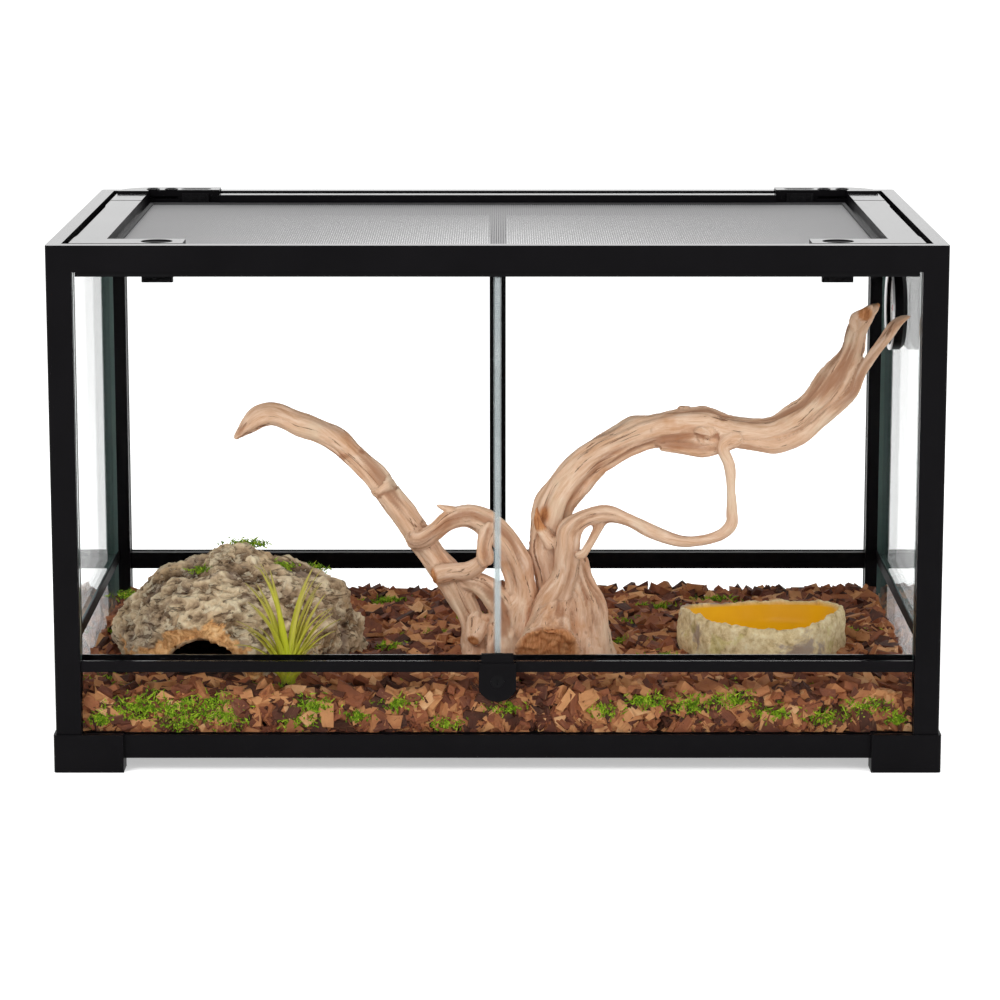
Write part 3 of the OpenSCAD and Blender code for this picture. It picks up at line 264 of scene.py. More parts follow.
def ribbed_rubber():
    f = Finish("spline_rubber")
    where = f.place()
    x, y, _ = f.parts_of(where)
    ribs = (x + y).repeat(0.0016) / 0.0016
    soft = f.noise(where, 90.0)
    return f.done(
        f.surface(
            Base_Color=f.blend(soft, (0.012, 0.012, 0.013), (0.03, 0.03, 0.031)),
            Roughness=soft * 0.2 + 0.5,
            Normal=f.bump(abs(ribs - 0.5), 0.00015, 0.6),
        )
    )


def plated_steel():
    f = Finish("steel")
    brushed = f.noise(f.mapped(f.place(), (900.0, 900.0, 40.0)), 1.0, 3.0)
    return f.done(
        f.surface(
            Base_Color=f.blend(brushed, (0.5, 0.5, 0.5), (0.68, 0.68, 0.67)),
            Metallic=1.0,
            Roughness=brushed * 0.2 + 0.22,
        )
    )


def silver_ring():
    f = Finish("gauge_ring")
    marks = f.noise(f.place(), 60.0, 5.0)
    return f.done(
        f.surface(
            Base_Color=f.blend(marks, (0.6, 0.6, 0.61), (0.8, 0.8, 0.81)),
            Metallic=0.6,
            Roughness=marks * 0.15 + 0.16,
        )
    )


GAUGE_MIDDLE = (19.5 * MM, 369.0 * MM)


def dial_card():
    """A white card with a ring of plain ticks and a green band where the reading should be."""
    f = Finish("dial_white")
    where = f.place()
    _, y, z = f.parts_of(where)
    side = y - GAUGE_MIDDLE[0]
    up = z - GAUGE_MIDDLE[1]
    radius = (side * side + up * up) ** 0.5
    turn = f.amount("ShaderNodeMath", {"operation": "ARCTAN2"}, {0: side, 1: up})
    step = math.radians(11.0)
    tick = abs((turn + step / 2).repeat(step) - step / 2) * radius < 0.0004
    on_ring = (radius > 0.0245) * (radius < 0.029) * (abs(turn) < 2.0)
    band = (radius > 0.02) * (radius < 0.0225) * (abs(turn - 0.3) < 0.55)
    fibre = f.noise(where, 500.0)
    card = f.blend(fibre, (0.8, 0.8, 0.78), (0.88, 0.88, 0.86))
    card = f.blend(band, card, (0.18, 0.45, 0.2))
    card = f.blend(tick * on_ring, card, (0.03, 0.03, 0.03))
    return f.done(f.surface(Base_Color=card, Roughness=fibre * 0.2 + 0.4))


def red_needle():
    f = Finish("needle_red")
    fleck = f.noise(f.place(), 300.0)
    red = f.blend(fleck, (0.5, 0.03, 0.02), (0.65, 0.06, 0.04))
    return f.done(f.surface(Base_Color=red, Roughness=fleck * 0.1 + 0.3))


# Finishes of the furnishings


def dry_wood():
    """Sandblasted driftwood: streaks along each branch, thin cracks and the flutes' hollows darkened with
    painted shade, and split wood where it broke.
    """
    f = Finish("driftwood")
    grain = f.carried("grain")
    where = f.place()
    depth = f.carried("depth", "Fac")
    broken = f.carried("broken", "Fac")
    streaks = f.noise(f.mapped(grain, (38.0, 210.0, 210.0)), 1.0, 7.0, 0.6, 0.7)
    fine = f.noise(f.mapped(grain, (70.0, 1500.0, 1500.0)), 1.0, 4.0, 0.6)
    patches = f.noise(where, 17.0, 4.0, 0.6)
    # Cracks are drawn as thin dark lines: painted shade inside them, with a matching dent in the bump.
    cracks = f.step(f.noise(f.mapped(grain, (16.0, 250.0, 250.0)), 1.0, 6.0, 0.6, 0.8), 0.62, 0.65)
    knots = f.step(f.noise(where, 42.0, 3.0, 0.5), 0.68, 0.76)
    tan = f.ramp(
        streaks * 0.7 + fine * 0.3,
        [
            (0.26, (0.5, 0.25, 0.13)), (0.4, (0.7, 0.42, 0.26)),
            (0.54, (0.82, 0.56, 0.39)), (0.7, (0.92, 0.72, 0.57)),
        ],
    )
    tan = f.blend(f.step(patches, 0.52, 0.7) * 0.5, tan, (0.82, 0.68, 0.5))
    tan = f.blend(f.step(patches, 0.44, 0.3) * 0.6, tan, (0.6, 0.27, 0.11))
    tan = f.blend(knots * 0.7, tan, (0.34, 0.13, 0.055))
    tan = f.blend(cracks * 0.75, tan, (0.16, 0.055, 0.02))
    # Darker where the flutes dip: painted shade in the hollows.
    tan = f.blend(f.step(depth, 0.44, 0.08) * 0.7, tan, (0.32, 0.12, 0.05))
    split = f.noise(f.mapped(where, (210.0, 90.0, 70.0)), 1.0, 6.0, 0.65, 0.6)
    fresh = f.ramp(split, [(0.3, (0.26, 0.08, 0.03)), (0.48, (0.52, 0.21, 0.08)), (0.68, (0.74, 0.39, 0.18))])
    relief = streaks * 0.6 + fine * 0.3 - cracks * 0.6
    return f.done(
        f.surface(
            Base_Color=f.blend(broken, tan, fresh),
            Roughness=fine * 0.2 + 0.62,
            Specular_IOR_Level=0.2,
            Normal=f.bump(f.amount("ShaderNodeMix", {}, {0: broken, 2: relief, 3: split}), 0.0012, 0.7),
        )
    )


def furrowed_bark():
    """Cork bark: cream flakes on grey-brown ridges, furrows and hollows darkened with painted shade, and
    orange-tan cork where it is torn.
    """
    f = Finish("cork_bark")
    where = f.place()
    depth = f.carried("depth", "Fac")
    inside = f.carried("inside", "Fac")
    torn = f.carried("torn", "Fac")
    flakes = f.noise(where, 150.0, 8.0, 0.7, 0.6)
    tone = f.noise(where, 30.0, 5.0, 0.6)
    furrows = f.step(f.noise(f.mapped(where, (50.0, 70.0, 125.0)), 1.0, 7.0, 0.66, 1.3), 0.445, 0.385)
    peeling = f.step(f.noise(where, 85.0, 6.0, 0.62, 0.8), 0.55, 0.6)
    # Colour follows the plates' relief: cream on the raised plates, as the bark's own weathered skin, and
    # near black down in the hollows, as painted shade.
    bark = f.ramp(
        flakes * 0.45 + depth * 0.55,
        [
            (0.2, (0.05, 0.025, 0.014)), (0.31, (0.3, 0.2, 0.12)),
            (0.42, (0.62, 0.46, 0.29)), (0.58, (0.95, 0.81, 0.56)),
        ],
    )
    bark = f.blend(f.step(tone, 0.52, 0.66) * 0.45, bark, (0.42, 0.33, 0.27))
    bark = f.blend(f.step(tone, 0.46, 0.34) * 0.4, bark, (0.82, 0.56, 0.3))
    bark = f.blend(peeling * 0.5, bark, (0.95, 0.83, 0.6))
    # Furrows darkened: painted shade in the grooves.
    bark = f.blend(furrows * 0.75, bark, (0.1, 0.05, 0.028))
    cork = f.ramp(flakes, [(0.35, (0.42, 0.17, 0.06)), (0.5, (0.78, 0.42, 0.17)), (0.65, (0.95, 0.62, 0.32))])
    bark = f.blend(torn, bark, cork)
    bark = f.blend(inside, bark, (0.3, 0.17, 0.09))
    return f.done(
        f.surface(
            Base_Color=bark,
            Roughness=flakes * 0.15 + 0.75,
            Specular_IOR_Level=0.12,
            Normal=f.bump(flakes + peeling * 0.4 - furrows * 0.5, 0.0026, 0.8),
        )
    )


def bark_chip():
    """Reddish bark chips: each has its own tone, and fibres along its length."""
    f = Finish("bark_chips")
    fibre = f.carried("fibre")
    tone = f.carried("tone", "Fac")
    lines = f.noise(f.mapped(fibre, (60.0, 500.0, 900.0)), 1.0, 5.0, 0.6, 0.3)
    blotch = f.noise(fibre, 110.0, 4.0)
    chip = f.ramp(
        tone * 0.7 + blotch * 0.3,
        [
            (0.14, (0.045, 0.016, 0.009)), (0.32, (0.13, 0.04, 0.022)), (0.5, (0.28, 0.09, 0.038)),
            (0.64, (0.42, 0.165, 0.065)), (0.8, (0.6, 0.29, 0.12)), (0.93, (0.78, 0.5, 0.27)),
        ],
    )
    chip = f.blend(f.step(lines, 0.56, 0.75) * 0.35, chip, (0.13, 0.04, 0.018))
    chip = f.blend(f.step(lines, 0.44, 0.25) * 0.25, chip, (0.7, 0.38, 0.18))
    return f.done(
        f.surface(
            Base_Color=chip,
            Roughness=blotch * 0.2 + 0.6,
            Specular_IOR_Level=0.3,
            Normal=f.bump(lines, 0.0009, 0.8),
        )
    )


def chip_bed():
    """What shows between the chips: fine crumbs, coloured near black as painted shade in the gaps between the
    chips.
    """
    f = Finish("chip_crumbs_and_gap_shade")
    where = f.place()
    crumbs = f.cells(where, 160.0, output="Color")
    size = f.cells(where, 160.0)
    # Near-black crumb tones: painted shade for the gaps between the chips.
    tone = f.ramp(
        f.parts_of(crumbs)[0],
        [(0.0, (0.012, 0.005, 0.003)), (0.5, (0.06, 0.022, 0.011)), (1.0, (0.17, 0.07, 0.033))],
    )
    grains = f.bump(1.0 - size, 0.002, 0.9)
    return f.done(f.surface(Base_Color=tone, Roughness=size * 0.2 + 0.75, Normal=grains))


def moss():
    f = Finish("moss")
    tone = f.carried("tone", "Fac")
    fleck = f.noise(f.place(), 220.0, 3.0)
    green = f.ramp(
        tone * 0.7 + fleck * 0.3,
        [(0.1, (0.06, 0.15, 0.006)), (0.5, (0.22, 0.38, 0.014)), (0.9, (0.5, 0.64, 0.05))],
    )
    return f.done(f.surface(Base_Color=green, Roughness=fleck * 0.2 + 0.6, Specular_IOR_Level=0.2))


def leaf():
    """Air-plant leaves: pale at the foot, yellow-green, with fine scales and lines along the blade."""
    f = Finish("plant_leaf")
    blade = f.carried("blade")
    along, _, tone = f.parts_of(blade)
    lines = f.noise(f.mapped(blade, (6.0, 60.0, 1.0)), 1.0, 4.0)
    scales = f.noise(f.place(), 900.0, 2.0)
    green = f.ramp(
        along,
        [
            (0.0, (0.5, 0.62, 0.02)), (0.2, (0.66, 0.72, 0.02)),
            (0.6, (0.58, 0.55, 0.03)), (1.0, (0.42, 0.32, 0.11)),
        ],
    )
    green = f.blend(f.step(lines, 0.4, 0.7) * 0.35, green, (0.3, 0.4, 0.03))
    green = f.blend(tone * 0.4, green, (0.62, 0.5, 0.16))
    return f.done(
        f.surface(
            Base_Color=green,
            Roughness=scales * 0.2 + 0.5,
            Specular_IOR_Level=0.3,
            Normal=f.bump(lines, 0.0004, 0.5),
        )
    )


def cast_stone():
    """The dish: rough khaki stone with dull purple patches outside, and a smooth yellow bowl."""
    f = Finish("dish_stone")
    where = f.place()
    bowl = f.carried("bowl", "Fac")
    grit = f.noise(where, 130.0, 8.0, 0.65)
    patch = f.noise(where, 24.0, 5.0, 0.6, 0.6)
    moss_stain = f.noise(where, 38.0, 4.0, 0.6)
    stone = f.ramp(
        grit,
        [
            (0.3, (0.4, 0.28, 0.12)), (0.43, (0.7, 0.54, 0.29)),
            (0.56, (0.87, 0.72, 0.43)), (0.72, (0.97, 0.89, 0.66)),
        ],
    )
    stone = f.blend(f.step(patch, 0.54, 0.62) * 0.7, stone, (0.36, 0.27, 0.26))
    stone = f.blend(f.step(moss_stain, 0.57, 0.66) * 0.35, stone, (0.62, 0.58, 0.14))
    yellow = f.blend(patch, (0.8, 0.38, 0.001), (0.95, 0.54, 0.004))
    return f.done(
        f.surface(
            Base_Color=f.blend(bowl, stone, yellow),
            Roughness=0.78 - bowl * 0.45,
            Specular_IOR_Level=0.15,
            Normal=f.bump(grit * (1.0 - bowl * 0.92), 0.0022, 0.8),
        )
    )


# Shapes


def new_piece(name, bm, material, body="case", smooth=True):
    """Makes a piece from a bmesh, gives it its material and lets it ride on a body."""
    mesh = bpy.data.meshes.new(name)
    bm.to_mesh(mesh)
    bm.free()
    return dress(name, mesh, material, body, smooth)


def dress(name, mesh, material, body="case", smooth=True):
    mesh.materials.clear()
    mesh.materials.append(material)
    for face in mesh.polygons:
        face.use_smooth = smooth
    piece = bpy.data.objects.new(name, mesh)
    bpy.context.scene.collection.objects.link(piece)
    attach(piece, body)
    return piece


def curve_through(points, steps):
    """Points on the smooth curve through a route; each is [x, s, height above the chips, radius]."""
    route = [np.array(p, float) for p in points]
    curve = []
    for i in range(len(route) - 1):
        a, b, c, d = route[max(i - 1, 0)], route[i], route[i + 1], route[min(i + 2, len(route) - 1)]
        for j in range(steps):
            t = j / steps
            curve.append(
                0.5 * (
                    2 * b + (c - a) * t + (2 * a - 5 * b + 4 * c - d) * t * t
                    + (3 * b - a - 3 * c + d) * t * t * t
                )
            )
    curve.append(route[-1])
    return [(at(p[0], p[1], BED_Z + p[2]), max(p[3], 0.6) * MM) for p in curve]


def ring_place(curve, i):
    """Where a branch's ring lies: its axis is along the branch and its scale is the radius."""
    before = curve[max(i - 1, 0)][0]
    after = curve[min(i + 1, len(curve) - 1)][0]
    turn = (after - before).to_track_quat("Z", "Y").to_matrix().to_4x4()
    return Matrix.Translation(curve[i][0]) @ turn @ Matrix.Scale(curve[i][1], 4)


def grow_branch(bm, curve, sides=14):
    """A round branch: one circle is extruded along the curve and its ends are closed."""
    place = ring_place(curve, 0)
    ring = bmesh.ops.create_circle(bm, cap_ends=True, segments=sides, radius=1.0, matrix=place)["verts"]
    edges = list({e for v in ring for e in v.link_edges if len(e.link_faces) == 1})
    for i in range(1, len(curve)):
        grown = bmesh.ops.extrude_edge_only(bm, edges=edges)["geom"]
        ring = [g for g in grown if isinstance(g, bmesh.types.BMVert)]
        edges = [g for g in grown if isinstance(g, bmesh.types.BMEdge)]
        following = ring_place(curve, i)
        bmesh.ops.transform(bm, matrix=following @ place.inverted(), verts=ring)
        place = following
    bmesh.ops.contextual_create(bm, geom=edges)


def knit(bm, voxel, smoothing):
    """Fuses what is in a bmesh to one skin of even small faces and returns its mesh."""
    bmesh.ops.recalc_face_normals(bm, faces=bm.faces)
    mesh = bpy.data.meshes.new("knit")
    bm.to_mesh(mesh)
    bm.free()
    rough = bpy.data.objects.new("knit", mesh)
    bpy.context.scene.collection.objects.link(rough)
    remesh = rough.modifiers.new("skin", "REMESH")
    remesh.mode = "VOXEL"
    remesh.voxel_size = voxel
    soften = rough.modifiers.new("soften", "SMOOTH")
    soften.factor = 0.5
    soften.iterations = smoothing
    depsgraph = bpy.context.evaluated_depsgraph_get()
    skin = bpy.data.meshes.new_from_object(rough.evaluated_get(depsgraph))
    bpy.data.objects.remove(rough)
    return skin


def points_of(mesh):
    co = np.empty(len(mesh.vertices) * 3, np.float32)
    mesh.vertices.foreach_get("co", co)
    return co.reshape(-1, 3)


def normals_of(mesh):
    no = np.empty(len(mesh.vertices) * 3, np.float32)
    mesh.vertex_normals.foreach_get("vector", no)
    return no.reshape(-1, 3)


def move_points(mesh, co):
    mesh.vertices.foreach_set("co", co.astype(np.float32).ravel())
    mesh.update()


def keep_numbers(mesh, name, values):
    attribute = mesh.attributes.new(name, "FLOAT", "POINT")
    attribute.data.foreach_set("value", np.asarray(values, np.float32))


def keep_vectors(mesh, name, values):
    attribute = mesh.attributes.new(name, "FLOAT_VECTOR", "POINT")
    attribute.data.foreach_set("vector", np.asarray(values, np.float32).ravel())


def level(low, high, values):
    return np.clip((values - low) / (high - low), 0.0, 1.0)


# Driftwood

LEFT_STEM = [
    (-236, 186, 198, 2.5), (-231, 186, 204, 5.5), (-222, 185, 212, 8.5), (-212, 184, 219, 9.5),
    (-199, 183, 221, 10.5), (-181, 182, 214, 11), (-163, 181, 209, 11.5), (-147, 180, 199, 11.5),
    (-131, 179, 186, 11.5), (-115, 178, 170, 12), (-100, 177, 152, 12), (-83, 176, 131, 12),
    (-62, 175, 101, 12), (-44, 172, 78, 12.5), (-34, 170, 62, 12), (-25, 168, 44, 11.5),
    (-18, 167, 27, 13), (-15, 166, 3, 18),
]
LEFT_KNOT = [(-97, 174, 159, 9), (-105, 172, 154, 8), (-109, 171, 152, 5.5)]
LEFT_ARCH = [
    (-65, 172, 119, 9), (-73, 168, 111, 9.5), (-67, 162, 112, 8.5), (-55, 159, 120, 8),
    (-42, 157, 130, 8.5), (-25, 156, 134, 10.5), (-10, 156, 128, 12), (6, 158, 114, 12.5),
    (16, 160, 96, 11.5), (21, 162, 78, 11.5), (23, 164, 60, 14), (17, 166, 43, 18), (12, 168, 4, 22),
]
LEFT_THORN = [(-31, 157, 134, 7), (-39, 156, 138, 4.5), (-47, 156, 141, 3), (-55, 156, 144, 1)]
LEFT_PROP = [(-8, 150, 125, 8), (-12, 148, 110, 7), (-11, 147, 99, 7.5), (-8, 146, 91, 5)]
LEFT_CROSS = [
    (-58, 160, 78, 6), (-52, 160, 80, 9), (-40, 161, 82, 9.5), (-27, 158, 84, 8.5), (-16, 152, 92, 7),
    (-9, 149, 102, 7),
]
LEFT_FOOT = [(-29, 164, 74, 8), (-15, 160, 71, 10), (-4, 162, 61, 12), (6, 164, 43, 16), (8, 166, 4, 24)]
LEFT_STRUT = [(4, 162, 94, 5), (9, 160, 80, 4.5), (13, 160, 65, 5)]
LEFT_SPUR = [(-17, 158, 37, 10), (-20, 150, 27, 8), (-22, 144, 22, 6.5)]
RIGHT_STEM = [
    (58, 176, 4, 22), (54, 178, 44, 19), (48, 176, 79, 16), (43, 174, 107, 17), (48, 172, 127, 18),
    (55, 170, 150, 17.5), (70, 168, 170, 17), (89, 165, 188, 16), (114, 162, 201, 15.5),
    (139, 159, 211, 15.5), (161, 156, 215, 17), (181, 154, 217, 18), (197, 152, 215, 15.5),
    (217, 150, 213, 13), (239, 148, 212, 13.5), (260, 145, 220, 14.5), (282, 140, 239, 14.5),
    (298, 134, 262, 13.5), (310, 128, 287, 11.5), (315, 123, 307, 10), (324, 119, 322, 6.5),
    (333, 116, 330, 2),
]
RIGHT_FRAY = [(313, 119, 308, 6), (310, 116, 318, 4), (318, 114, 324, 2.5), (327, 112, 330, 1)]
RIGHT_TWIG = [
    (213, 144, 204, 6), (231, 142, 202, 7), (250, 140, 202, 7.5), (272, 136, 212, 7),
    (293, 131, 232, 6.5), (312, 125, 250, 5.5), (319, 118, 271, 5), (330, 113, 290, 5),
    (339, 110, 302, 5.5), (346, 107, 313, 4.5), (353, 105, 319, 3), (359, 103, 321, 1.5),
]
RIGHT_RIB = [
    (144, 150, 199, 5), (163, 147, 198, 6), (182, 145, 196, 6.5), (199, 143, 200, 6), (212, 144, 206, 6),
]
RIGHT_LOOP = [
    (211, 142, 207, 7), (202, 138, 204, 6.5), (199, 135, 198, 5.5), (205, 131, 184, 5),
    (206, 128, 163, 4.8), (207, 126, 143, 5), (206, 125, 132, 5.5), (196, 125, 123, 5.5),
    (177, 126, 118, 5.8), (160, 127, 118, 5.8), (138, 129, 125, 6), (116, 132, 135, 6.5),
    (97, 135, 140, 7.5), (78, 139, 136, 9), (65, 142, 124, 11), (63, 144, 106, 11.5), (61, 146, 85, 12),
    (55, 148, 68, 13.5), (45, 150, 48, 16), (38, 151, 4, 21),
]
RIGHT_KNOT = [(180, 146, 214, 11), (187, 142, 211, 9), (191, 139, 208, 5)]
RIGHT_THORN = [(168, 156, 229, 6), (163, 156, 232, 3.5), (161, 156, 234, 1)]
RIGHT_STUB = [
    (93, 137, 135, 5.5), (88, 134, 125, 4), (81, 131, 112, 3.8), (75, 129, 104, 4.2), (69, 128, 105, 3),
]
RIGHT_BARB = [(128, 129, 128, 4.5), (125, 128, 133, 2)]
RIGHT_SPIKE = [(50, 152, 109, 8), (42, 150, 119, 6), (36, 149, 129, 4), (35, 148, 144, 1.5)]
RIGHT_FLARE = [(66, 158, 93, 13), (73, 156, 71, 16), (79, 154, 49, 19), (82, 152, 4, 26)]
RIGHT_TOE = [(53, 146, 55, 13), (48, 138, 36, 20), (45, 126, 18, 28), (45, 118, 14, 31)]
# Where the wood is freshly broken or cut: [x, s, height above the chips, radius]
BREAKS = [
    (-60, 158, 78, 9), (-23, 141, 21, 7.5), (36, 146, 136, 15), (45, 99, 14, 37), (320, 113, 322, 7),
    (334, 116, 331, 4),
]


def driftwood(name, routes, seed):
    """Branches fused to one skin, with flutes along them, knots and a grain that follows each branch."""
    bm = bmesh.new()
    curves = [curve_through(route, 5) for route in routes]
    for curve in curves:
        grow_branch(bm, curve)
    skin = knit(bm, 1.7 * MM, 5)
    co = points_of(skin)
    no = normals_of(skin)
    grain, middle = follow_branches(co, curves)
    depth = np.empty(len(co))
    moved = co.copy()
    offset = Vector((seed * 3.1, seed * 1.7, 0.0))
    for i, (along, side, up) in enumerate(grain):
        p = Vector(co[i])
        flute = noise.fractal(Vector((along * 8.0, side * 95.0, up * 95.0)) + offset, 0.8, 2.2, 4)
        on_ridge = Vector((along * 11.0, side * 60.0, up * 60.0)) + offset
        ridge = noise.ridged_multi_fractal(on_ridge, 1.0, 2.1, 3, 0.8, 1.4)
        knot = noise.noise(p * 36.0 + offset)
        fine = noise.noise(Vector((along * 60.0, side * 420.0, up * 420.0)) + offset)
        girth = min(middle[i] / (12 * MM), 1.3)
        rise = (flute * 0.0022 + (ridge - 0.9) * 0.0009 + knot * 0.0032 + fine * 0.0003) * girth
        moved[i] = co[i] + no[i] * rise
        # depth also darkens the wood in the flutes' hollows, as painted shade.
        depth[i] = 0.5 + flute * 0.5 + (ridge - 0.9) * 0.2
    broken = np.zeros(len(co))
    for x, s, height, radius in BREAKS:
        far = np.linalg.norm(co - np.array(at(x, s, BED_Z + height)), axis=1)
        broken = np.maximum(broken, level(radius * MM, 0.82 * radius * MM, far))
    move_points(skin, moved)
    keep_vectors(skin, "grain", grain)
    keep_numbers(skin, "depth", depth)
    keep_numbers(skin, "broken", broken)
    piece = dress(name + "_grained", skin, WOOD)
    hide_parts(name)
    return piece


def follow_branches(co, curves):
    """Each point's distance along the nearest branch and place across it, and that branch's radius."""
    best = np.full(len(co), 1e9)
    grain = np.zeros((len(co), 3))
    girth = np.zeros(len(co))
    start = 0.0
    for curve in curves:
        centres = np.array([p[0] for p in curve])
        radii = np.array([p[1] for p in curve])
        runs = np.concatenate([[0.0], np.cumsum(np.linalg.norm(np.diff(centres, axis=0), axis=1))])
        for i in range(len(curve) - 1):
            a, b = centres[i], centres[i + 1]
            t = np.clip(((co - a) @ (b - a)) / np.dot(b - a, b - a), 0.0, 1.0)
            off = co - (a + t[:, None] * (b - a))
            r = radii[i] + t * (radii[i + 1] - radii[i])
            far = np.linalg.norm(off, axis=1) - r
            nearer = far < best
            best[nearer] = far[nearer]
            direction = Vector(b - a).normalized()
            runs_back = abs(direction.y) > 0.99
            side = direction.orthogonal() if runs_back else direction.cross((0, 1, 0))
            side = np.array(side.normalized())
            up = np.cross(np.array(direction), side)
            grain[nearer, 0] = (start + runs[i] + t * (runs[i + 1] - runs[i]))[nearer]
            grain[nearer, 1] = (off @ side)[nearer]
            grain[nearer, 2] = (off @ up)[nearer]
            girth[nearer] = r[nearer]
        start += runs[-1] + 0.37
    return grain, girth


# Bark hide


# Lumps along the crown and shoulders: [x, s, height above the chips, radius, rise]
HIDE_LUMPS = [
    (-246, 182, 92, 26, 9), (-213, 190, 92, 24, 8), (-180, 186, 86, 26, 9), (-140, 178, 62, 24, 8),
    (-297, 172, 66, 30, 6), (-262, 130, 70, 26, 6), (-210, 128, 66, 22, 6), (-334, 170, 36, 24, 5),
    (-150, 130, 40, 22, 6), (-240, 240, 66, 34, 7),
]
MOUTH = (-260.0, 37.0)


def bark_hide():
    """The hide: the CAD shell with small faces, lumps along it, plates, furrows and a torn front edge."""
    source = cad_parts["cork_hide"].data
    bm = bmesh.new()
    bm.from_mesh(source)
    bmesh.ops.remove_doubles(bm, verts=bm.verts, dist=1e-5)
    skin = knit(bm, 2.3 * MM, 3)
    co = points_of(skin)
    no = normals_of(skin)
    low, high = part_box("cork_hide")
    middle = np.array([(low.x + high.x) / 2, (low.y + high.y) / 2, low.z])
    reach = (co - middle) / np.array([(high.x - low.x) / 2, (high.y - low.y) / 2, high.z - low.z])
    outwards = np.einsum("ij,ij->i", no, (co - middle) / np.linalg.norm(co - middle, axis=1)[:, None])
    inside = level(0.1, -0.25, outwards) * level(0.985, 0.9, np.linalg.norm(reach, axis=1))
    lumps = np.zeros(len(co))
    for x, s, height, radius, rise in HIDE_LUMPS:
        far = np.linalg.norm(co - np.array(at(x, s, BED_Z + height)), axis=1) / (radius * MM)
        lumps += np.exp(-far * far * 1.6) * rise * MM
    from_mouth = np.hypot(co[:, 0] - MOUTH[0] * MM, co[:, 2] - low.z) / MM - MOUTH[1]
    depth = np.zeros(len(co))
    torn = np.zeros(len(co))
    moved = co.copy()
    for i, point in enumerate(co):
        p = Vector(point)
        stretched = Vector((p.x * 0.6, p.y, p.z * 1.2))
        plates = noise.ridged_multi_fractal(stretched * 34.0, 0.9, 2.1, 5, 0.85, 1.6)
        flakes = noise.fractal(stretched * 150.0, 0.6, 2.2, 4)
        swell = noise.noise(p * 24.0) * 0.006
        edge = 15.0 + 9.0 * noise.noise(p * 55.0) + 5.0 * noise.noise(p * 170.0)
        skirt = low.z + (edge + 6.0) * MM
        along_front = -350 * MM < p.x < -205 * MM and p.z < skirt
        if p.y < middle[1] and (from_mouth[i] < edge or along_front) and inside[i] < 0.5:
            torn[i] = 1.0
        # depth is how high the plates stand; the bark's colour darkens with it in the hollows, as painted
        # shade.
        depth[i] = min(max(plates * 0.42 + flakes * 0.25, 0.0), 1.0)
        rise = ((plates - 1.1) * 0.0072 + flakes * 0.0024) * (1.0 - 0.6 * torn[i]) - 0.004 * torn[i] + swell
        quiet = min(max((p.z - low.z) / 0.004, 0.0), 1.0)
        moved[i] = point + no[i] * (rise * (1.0 - 0.7 * inside[i]) + lumps[i] * (1.0 - inside[i])) * quiet
    moved[:, 2] = np.maximum(moved[:, 2], low.z)
    moved[:, 0] = np.maximum(moved[:, 0], -INNER_HALF_WIDTH)
    move_points(skin, moved)
    keep_numbers(skin, "depth", depth)
    keep_numbers(skin, "inside", inside)
    keep_numbers(skin, "torn", torn)
    piece = dress("cork_hide_furrowed", skin, BARK)
    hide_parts("cork_hide")
    return skin


# Water dish

DISH_MIDDLE = (239.0, 192.0)
DISH_SIZE = (75.0, 62.0, 38.0)
# Share of the dish's outer size and height, up the outside and down into the bowl
DISH_OUTLINE = [
    (0.97, 0.0), (1.0, 0.2), (0.99, 0.55), (0.975, 0.85), (0.955, 1.0), (0.915, 1.01), (0.88, 0.9),
    (0.81, 0.52), (0.7, 0.29), (0.42, 0.24), (0.0, 0.23),
]


def water_dish():
    """A circle is extruded up the outside, over the rim and down into the bowl, then roughened outside."""
    bm = bmesh.new()
    bowl_mark = bm.verts.layers.float.new("bowl")
    ring = bmesh.ops.create_circle(bm, segments=120, radius=1.0)["verts"]
    edges = list(bm.edges)
    rings = [ring]
    for _ in DISH_OUTLINE[1:-1]:
        grown = bmesh.ops.extrude_edge_only(bm, edges=edges)["geom"]
        edges = [g for g in grown if isinstance(g, bmesh.types.BMEdge)]
        rings.append([g for g in grown if isinstance(g, bmesh.types.BMVert)])
    for i, verts in enumerate(rings):
        share, height = DISH_OUTLINE[i]
        for v in verts:
            turn = math.atan2(v.co.y, v.co.x)
            lobe = 1 + 0.045 * math.sin(3 * turn + math.radians(20)) + 0.03 * math.sin(5 * turn)
            rise = height * (1 + 0.07 * math.sin(2 * turn + math.radians(60)))
            x = DISH_SIZE[0] * share * lobe * math.cos(turn)
            y = DISH_SIZE[1] * share * lobe * math.sin(turn)
            v.co = at(DISH_MIDDLE[0] + x, DISH_MIDDLE[1] + y, BED_Z + 0.2 + DISH_SIZE[2] * rise)
            v[bowl_mark] = 1.0 if i > 5 else 0.0
    bmesh.ops.contextual_create(bm, geom=edges)
    bmesh.ops.contextual_create(bm, geom=[e for e in bm.edges if e.is_boundary])
    bmesh.ops.subdivide_edges(bm, edges=bm.edges, cuts=2, use_grid_fill=True, smooth=0.0)
    bmesh.ops.recalc_face_normals(bm, faces=bm.faces)
    mesh = bpy.data.meshes.new("dish")
    bm.to_mesh(mesh)
    bm.free()
    co = points_of(mesh)
    no = normals_of(mesh)
    bowl = np.empty(len(co), np.float32)
    mesh.attributes["bowl"].data.foreach_get("value", bowl)
    for i, point in enumerate(co):
        p = Vector(point)
        if bowl[i] < 0.5 and p.z > (BED_Z + 1) * MM:
            lumps = noise.fractal(p * 60.0, 0.7, 2.1, 4) * 0.0022 + noise.noise(p * 260.0) * 0.0006
            co[i] = point + no[i] * lumps
    move_points(mesh, co)
    piece = dress("water_dish_cast", mesh, STONE)
    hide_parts("water_dish")


# Air plant


